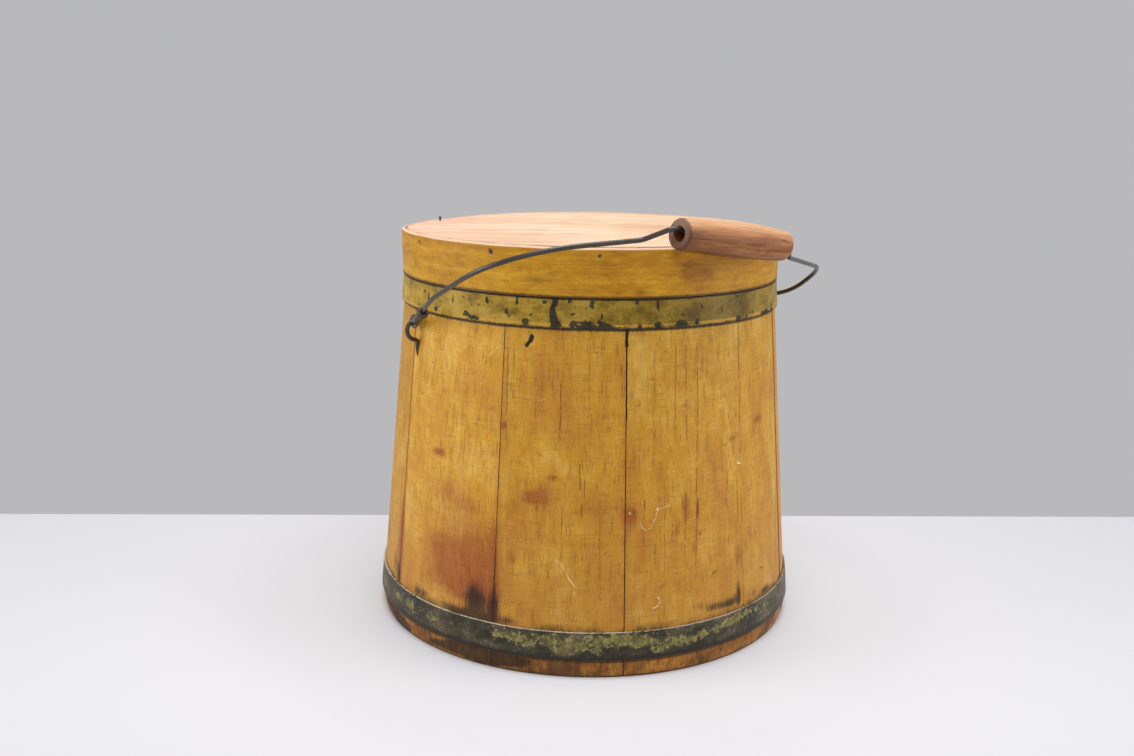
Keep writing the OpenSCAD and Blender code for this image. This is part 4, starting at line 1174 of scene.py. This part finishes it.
def rim_grid():
    """Columns: up the outer face, over the worn edge, down inside. The radius grows by a step once round."""
    up = np.linspace(RIM_LOW + 0.0005, LID_TOP - WORN_H, 26)
    a = np.linspace(0, math.pi / 2, 7)[1:]
    outer = np.stack([np.full(26, RIM_R), up], -1)
    edge = np.stack([RIM_R - WORN_W * (1 - np.cos(a)), LID_TOP - WORN_H + WORN_H * np.sin(a)], -1)
    rest = [(RIM_IN_R + 0.0002, LID_TOP), (RIM_IN_R, LID_TOP - 0.0003), (RIM_IN_R, 0.262),
            (RIM_IN_R, RIM_LOW + 0.0003), (RIM_IN_R + 0.0003, RIM_LOW), (RIM_R - 0.0005, RIM_LOW)]
    outer[:, 0] -= 0.0008 * np.clip((0.27 - up) / 0.02, 0, 1)
    section = np.concatenate([outer, edge, rest])
    r, z = section.T[:, None, :]
    azimuth = (RIM_LAP_AT + np.concatenate([[0.0001], np.linspace(0.0025, 2 * math.pi - 0.0025, 500), [2 * math.pi]]))[:, None]
    gone = (azimuth - RIM_LAP_AT) / (2 * math.pi)
    outness = np.clip((r - RIM_IN_R) / (RIM_R - RIM_IN_R), 0, 1)
    arc = azimuth * ARC_R
    radius = r - outness * (RIM_STEP * (1 - np.clip(gone * 6, 0, 1)) + 0.00012 * (1 + ripple(arc, z, (30, 50), 71)))
    high = np.clip((z - LID_TOP + 0.004) / 0.004, 0, 1)
    low = np.clip(1 - (z - RIM_LOW) / 0.004, 0, 1)
    front = np.exp(-(((azimuth + PICTURE_TURN + math.pi) % (2 * math.pi) - math.pi) / 1.1) ** 2)
    height = z - high * outness * 0.0003 * (1 + ripple(arc, 0 * z, (120, 0), 72)) - high * lid_dip(azimuth)
    height = height - high * 0.0007 * front
    height = height + low * 0.00025 * (1 + ripple(arc, 0 * z, (40, 0), 73))
    grid = around(azimuth, radius, height)
    full = np.ones_like(grid[..., 0])
    facts = {
        "grain": np.stack([arc * full, z * full, radius], -1), "plank": full * 0.37,
        "worn": full * np.clip((z - (LID_TOP - WORN_H)) / (WORN_H * 0.4), 0, 1),
        "stain": bells(azimuth, z, RIM_SPOTS, RIM_R, 8, (0.255, 0.262, 0.27), 0) * full,
    }
    return grid, facts


grid, facts = rim_grid()
rim = make_piece("lid_bent_band", [(grid, False)], "lid", "rim_wood", ["lid_rim"], facts)

f = Finish("ochre_band")
grain = f.place("grain")
broad, lines, saw = wood_lines(f, grain, f.fact("plank"), 0.03, 1100.0)
cloudy = f.noise(f.stretch(grain, (0.6, 1, 1)), 40.0, 5.0, 0.66)
ragged = f.noise(f.stretch(grain, (0.6, 1, 1)), 380.0, 4.0, 0.65)
weave = f.noise(f.stretch(grain, (0.3, 1, 1), (2, 2, 2)), 300.0, 4.0, 0.66, 0.6)
colour = f.ramp(broad * 0.3 + cloudy * 0.35 + weave * 0.35, (0.37, tone(168, 110, 14)), (0.5, tone(195, 140, 22)),
                (0.62, tone(216, 166, 44)))
colour = f.shade(colour, ragged * 0.3 + 0.84)
colour = f.mix(lines * 0.4, colour, tone(140, 82, 34))
colour = f.mix((1 - f.step(saw, 0.3, 0.44)) * 0.25, colour, tone(150, 100, 34))
smudge = f.step(f.fact("stain") + (ragged + cloudy - 1) * 0.8, 0.1, 0.9)
colour = f.mix(smudge * 0.8, colour, (0.5, 0.36, 0.5, 1), "MULTIPLY")
height = f.axis(grain, 1)
# Painted shade: the band's lowest two millimetres are darkened, standing in for the shade in the gap above the upper
# hoop.
painted_gap_shade = 1 - f.step(height - RIM_LOW + (ragged - 0.5) * 0.0018, 0.0006, 0.0022)
colour = f.mix(painted_gap_shade * 0.85, colour, tone(60, 34, 20))
worn = f.step(f.fact("worn") + (ragged - 0.5) * 0.9, 0.35, 0.6)
colour = f.mix(worn * 0.9, colour, tone(226, 190, 160))
relief = f.bump(lines * -0.4 + ragged * 0.2, 0.0003, 0.5)
rim.data.materials.append(f.surface({"Base Color": colour, "Roughness": cloudy * 0.14 + 0.42, "Normal": relief,
                                     "Specular IOR Level": 0.25}))
print("lid band radius", RIM_R * 1000, "mm")

# %% [markdown]
# ## Nails
# Small cut nails hold the band to the board, four tacks hold its lap, and one nail has risen from
# the top. Their heads are hammered shapes, no two quite alike.

# %% Nails and tacks
NAIL_Z, NAIL_R, FIRST_NAIL, NAILS = 0.2775, 0.0017, -60, 12


def hammered(r, high, seed):
    """A nail's head: a low dome whose outline is pulled a little out of round."""
    grid = turned(head_profile(r, high, 5), 14)
    turn = np.arctan2(grid[..., 1], grid[..., 0])
    draw = np.random.default_rng(seed).uniform(0, 6, 2)
    grid[..., :2] *= (1 + 0.14 * np.sin(2 * turn + draw[0]) + 0.06 * np.sin(3 * turn + draw[1]))[..., None]
    return grid


def on_band(azimuth_deg, z, sunk):
    a = math.radians(azimuth_deg)
    return around(np.array(a), RIM_R - sunk, z), (math.sin(a), -math.cos(a), 0)


nail_shells = [(stand(hammered(NAIL_R * draw_r, 0.0003, 500 + k),
                      *on_band(FIRST_NAIL + k * 360 / NAILS, NAIL_Z, 0.00025)), False)
               for k, draw_r in enumerate([1.15, *np.random.default_rng(9).uniform(0.5, 0.75, NAILS - 1)])]
nails = make_piece("lid_band_nails", nail_shells, "lid", "nail_iron", ["lid_rim_nails"])
tack_shells = [(stand(hammered(0.0016, 0.0004, 600 + 2 * k + m),
                      *on_band(152 + 7 * k, RIM_LOW + 0.006 + 0.010 * m, 0.0)), False) for k in (0, 1) for m in (0, 1)]
tacks = make_piece("lid_lap_tack_heads", tack_shells, "lid", "nail_iron", ["lid_rim_lap_tacks"])
risen = turned([(0.0003, LID_TOP + 0.0006), (0.001, LID_TOP + 0.0005), (0.00135, LID_TOP + 0.0001),
                (0.0012, LID_TOP - 0.0004), (0.0007, LID_TOP - 0.0006), (0.0007, LID_TOP - 0.006),
                (0.0003, LID_TOP - 0.0085)], 18)
risen[..., 0] += -0.072
risen[..., 1] += 0.105
nail = make_piece("lid_risen_nail", [(risen, False)], "lid", "nail_iron", ["lid_top_nail"])
rusty = wire_material("rusted_nails", tone(66, 54, 46), tone(96, 66, 48), 0.55)
for piece in (nails, tacks, nail):
    piece.data.materials.append(rusty)
print("nails:", NAILS, "tacks:", len(tack_shells))
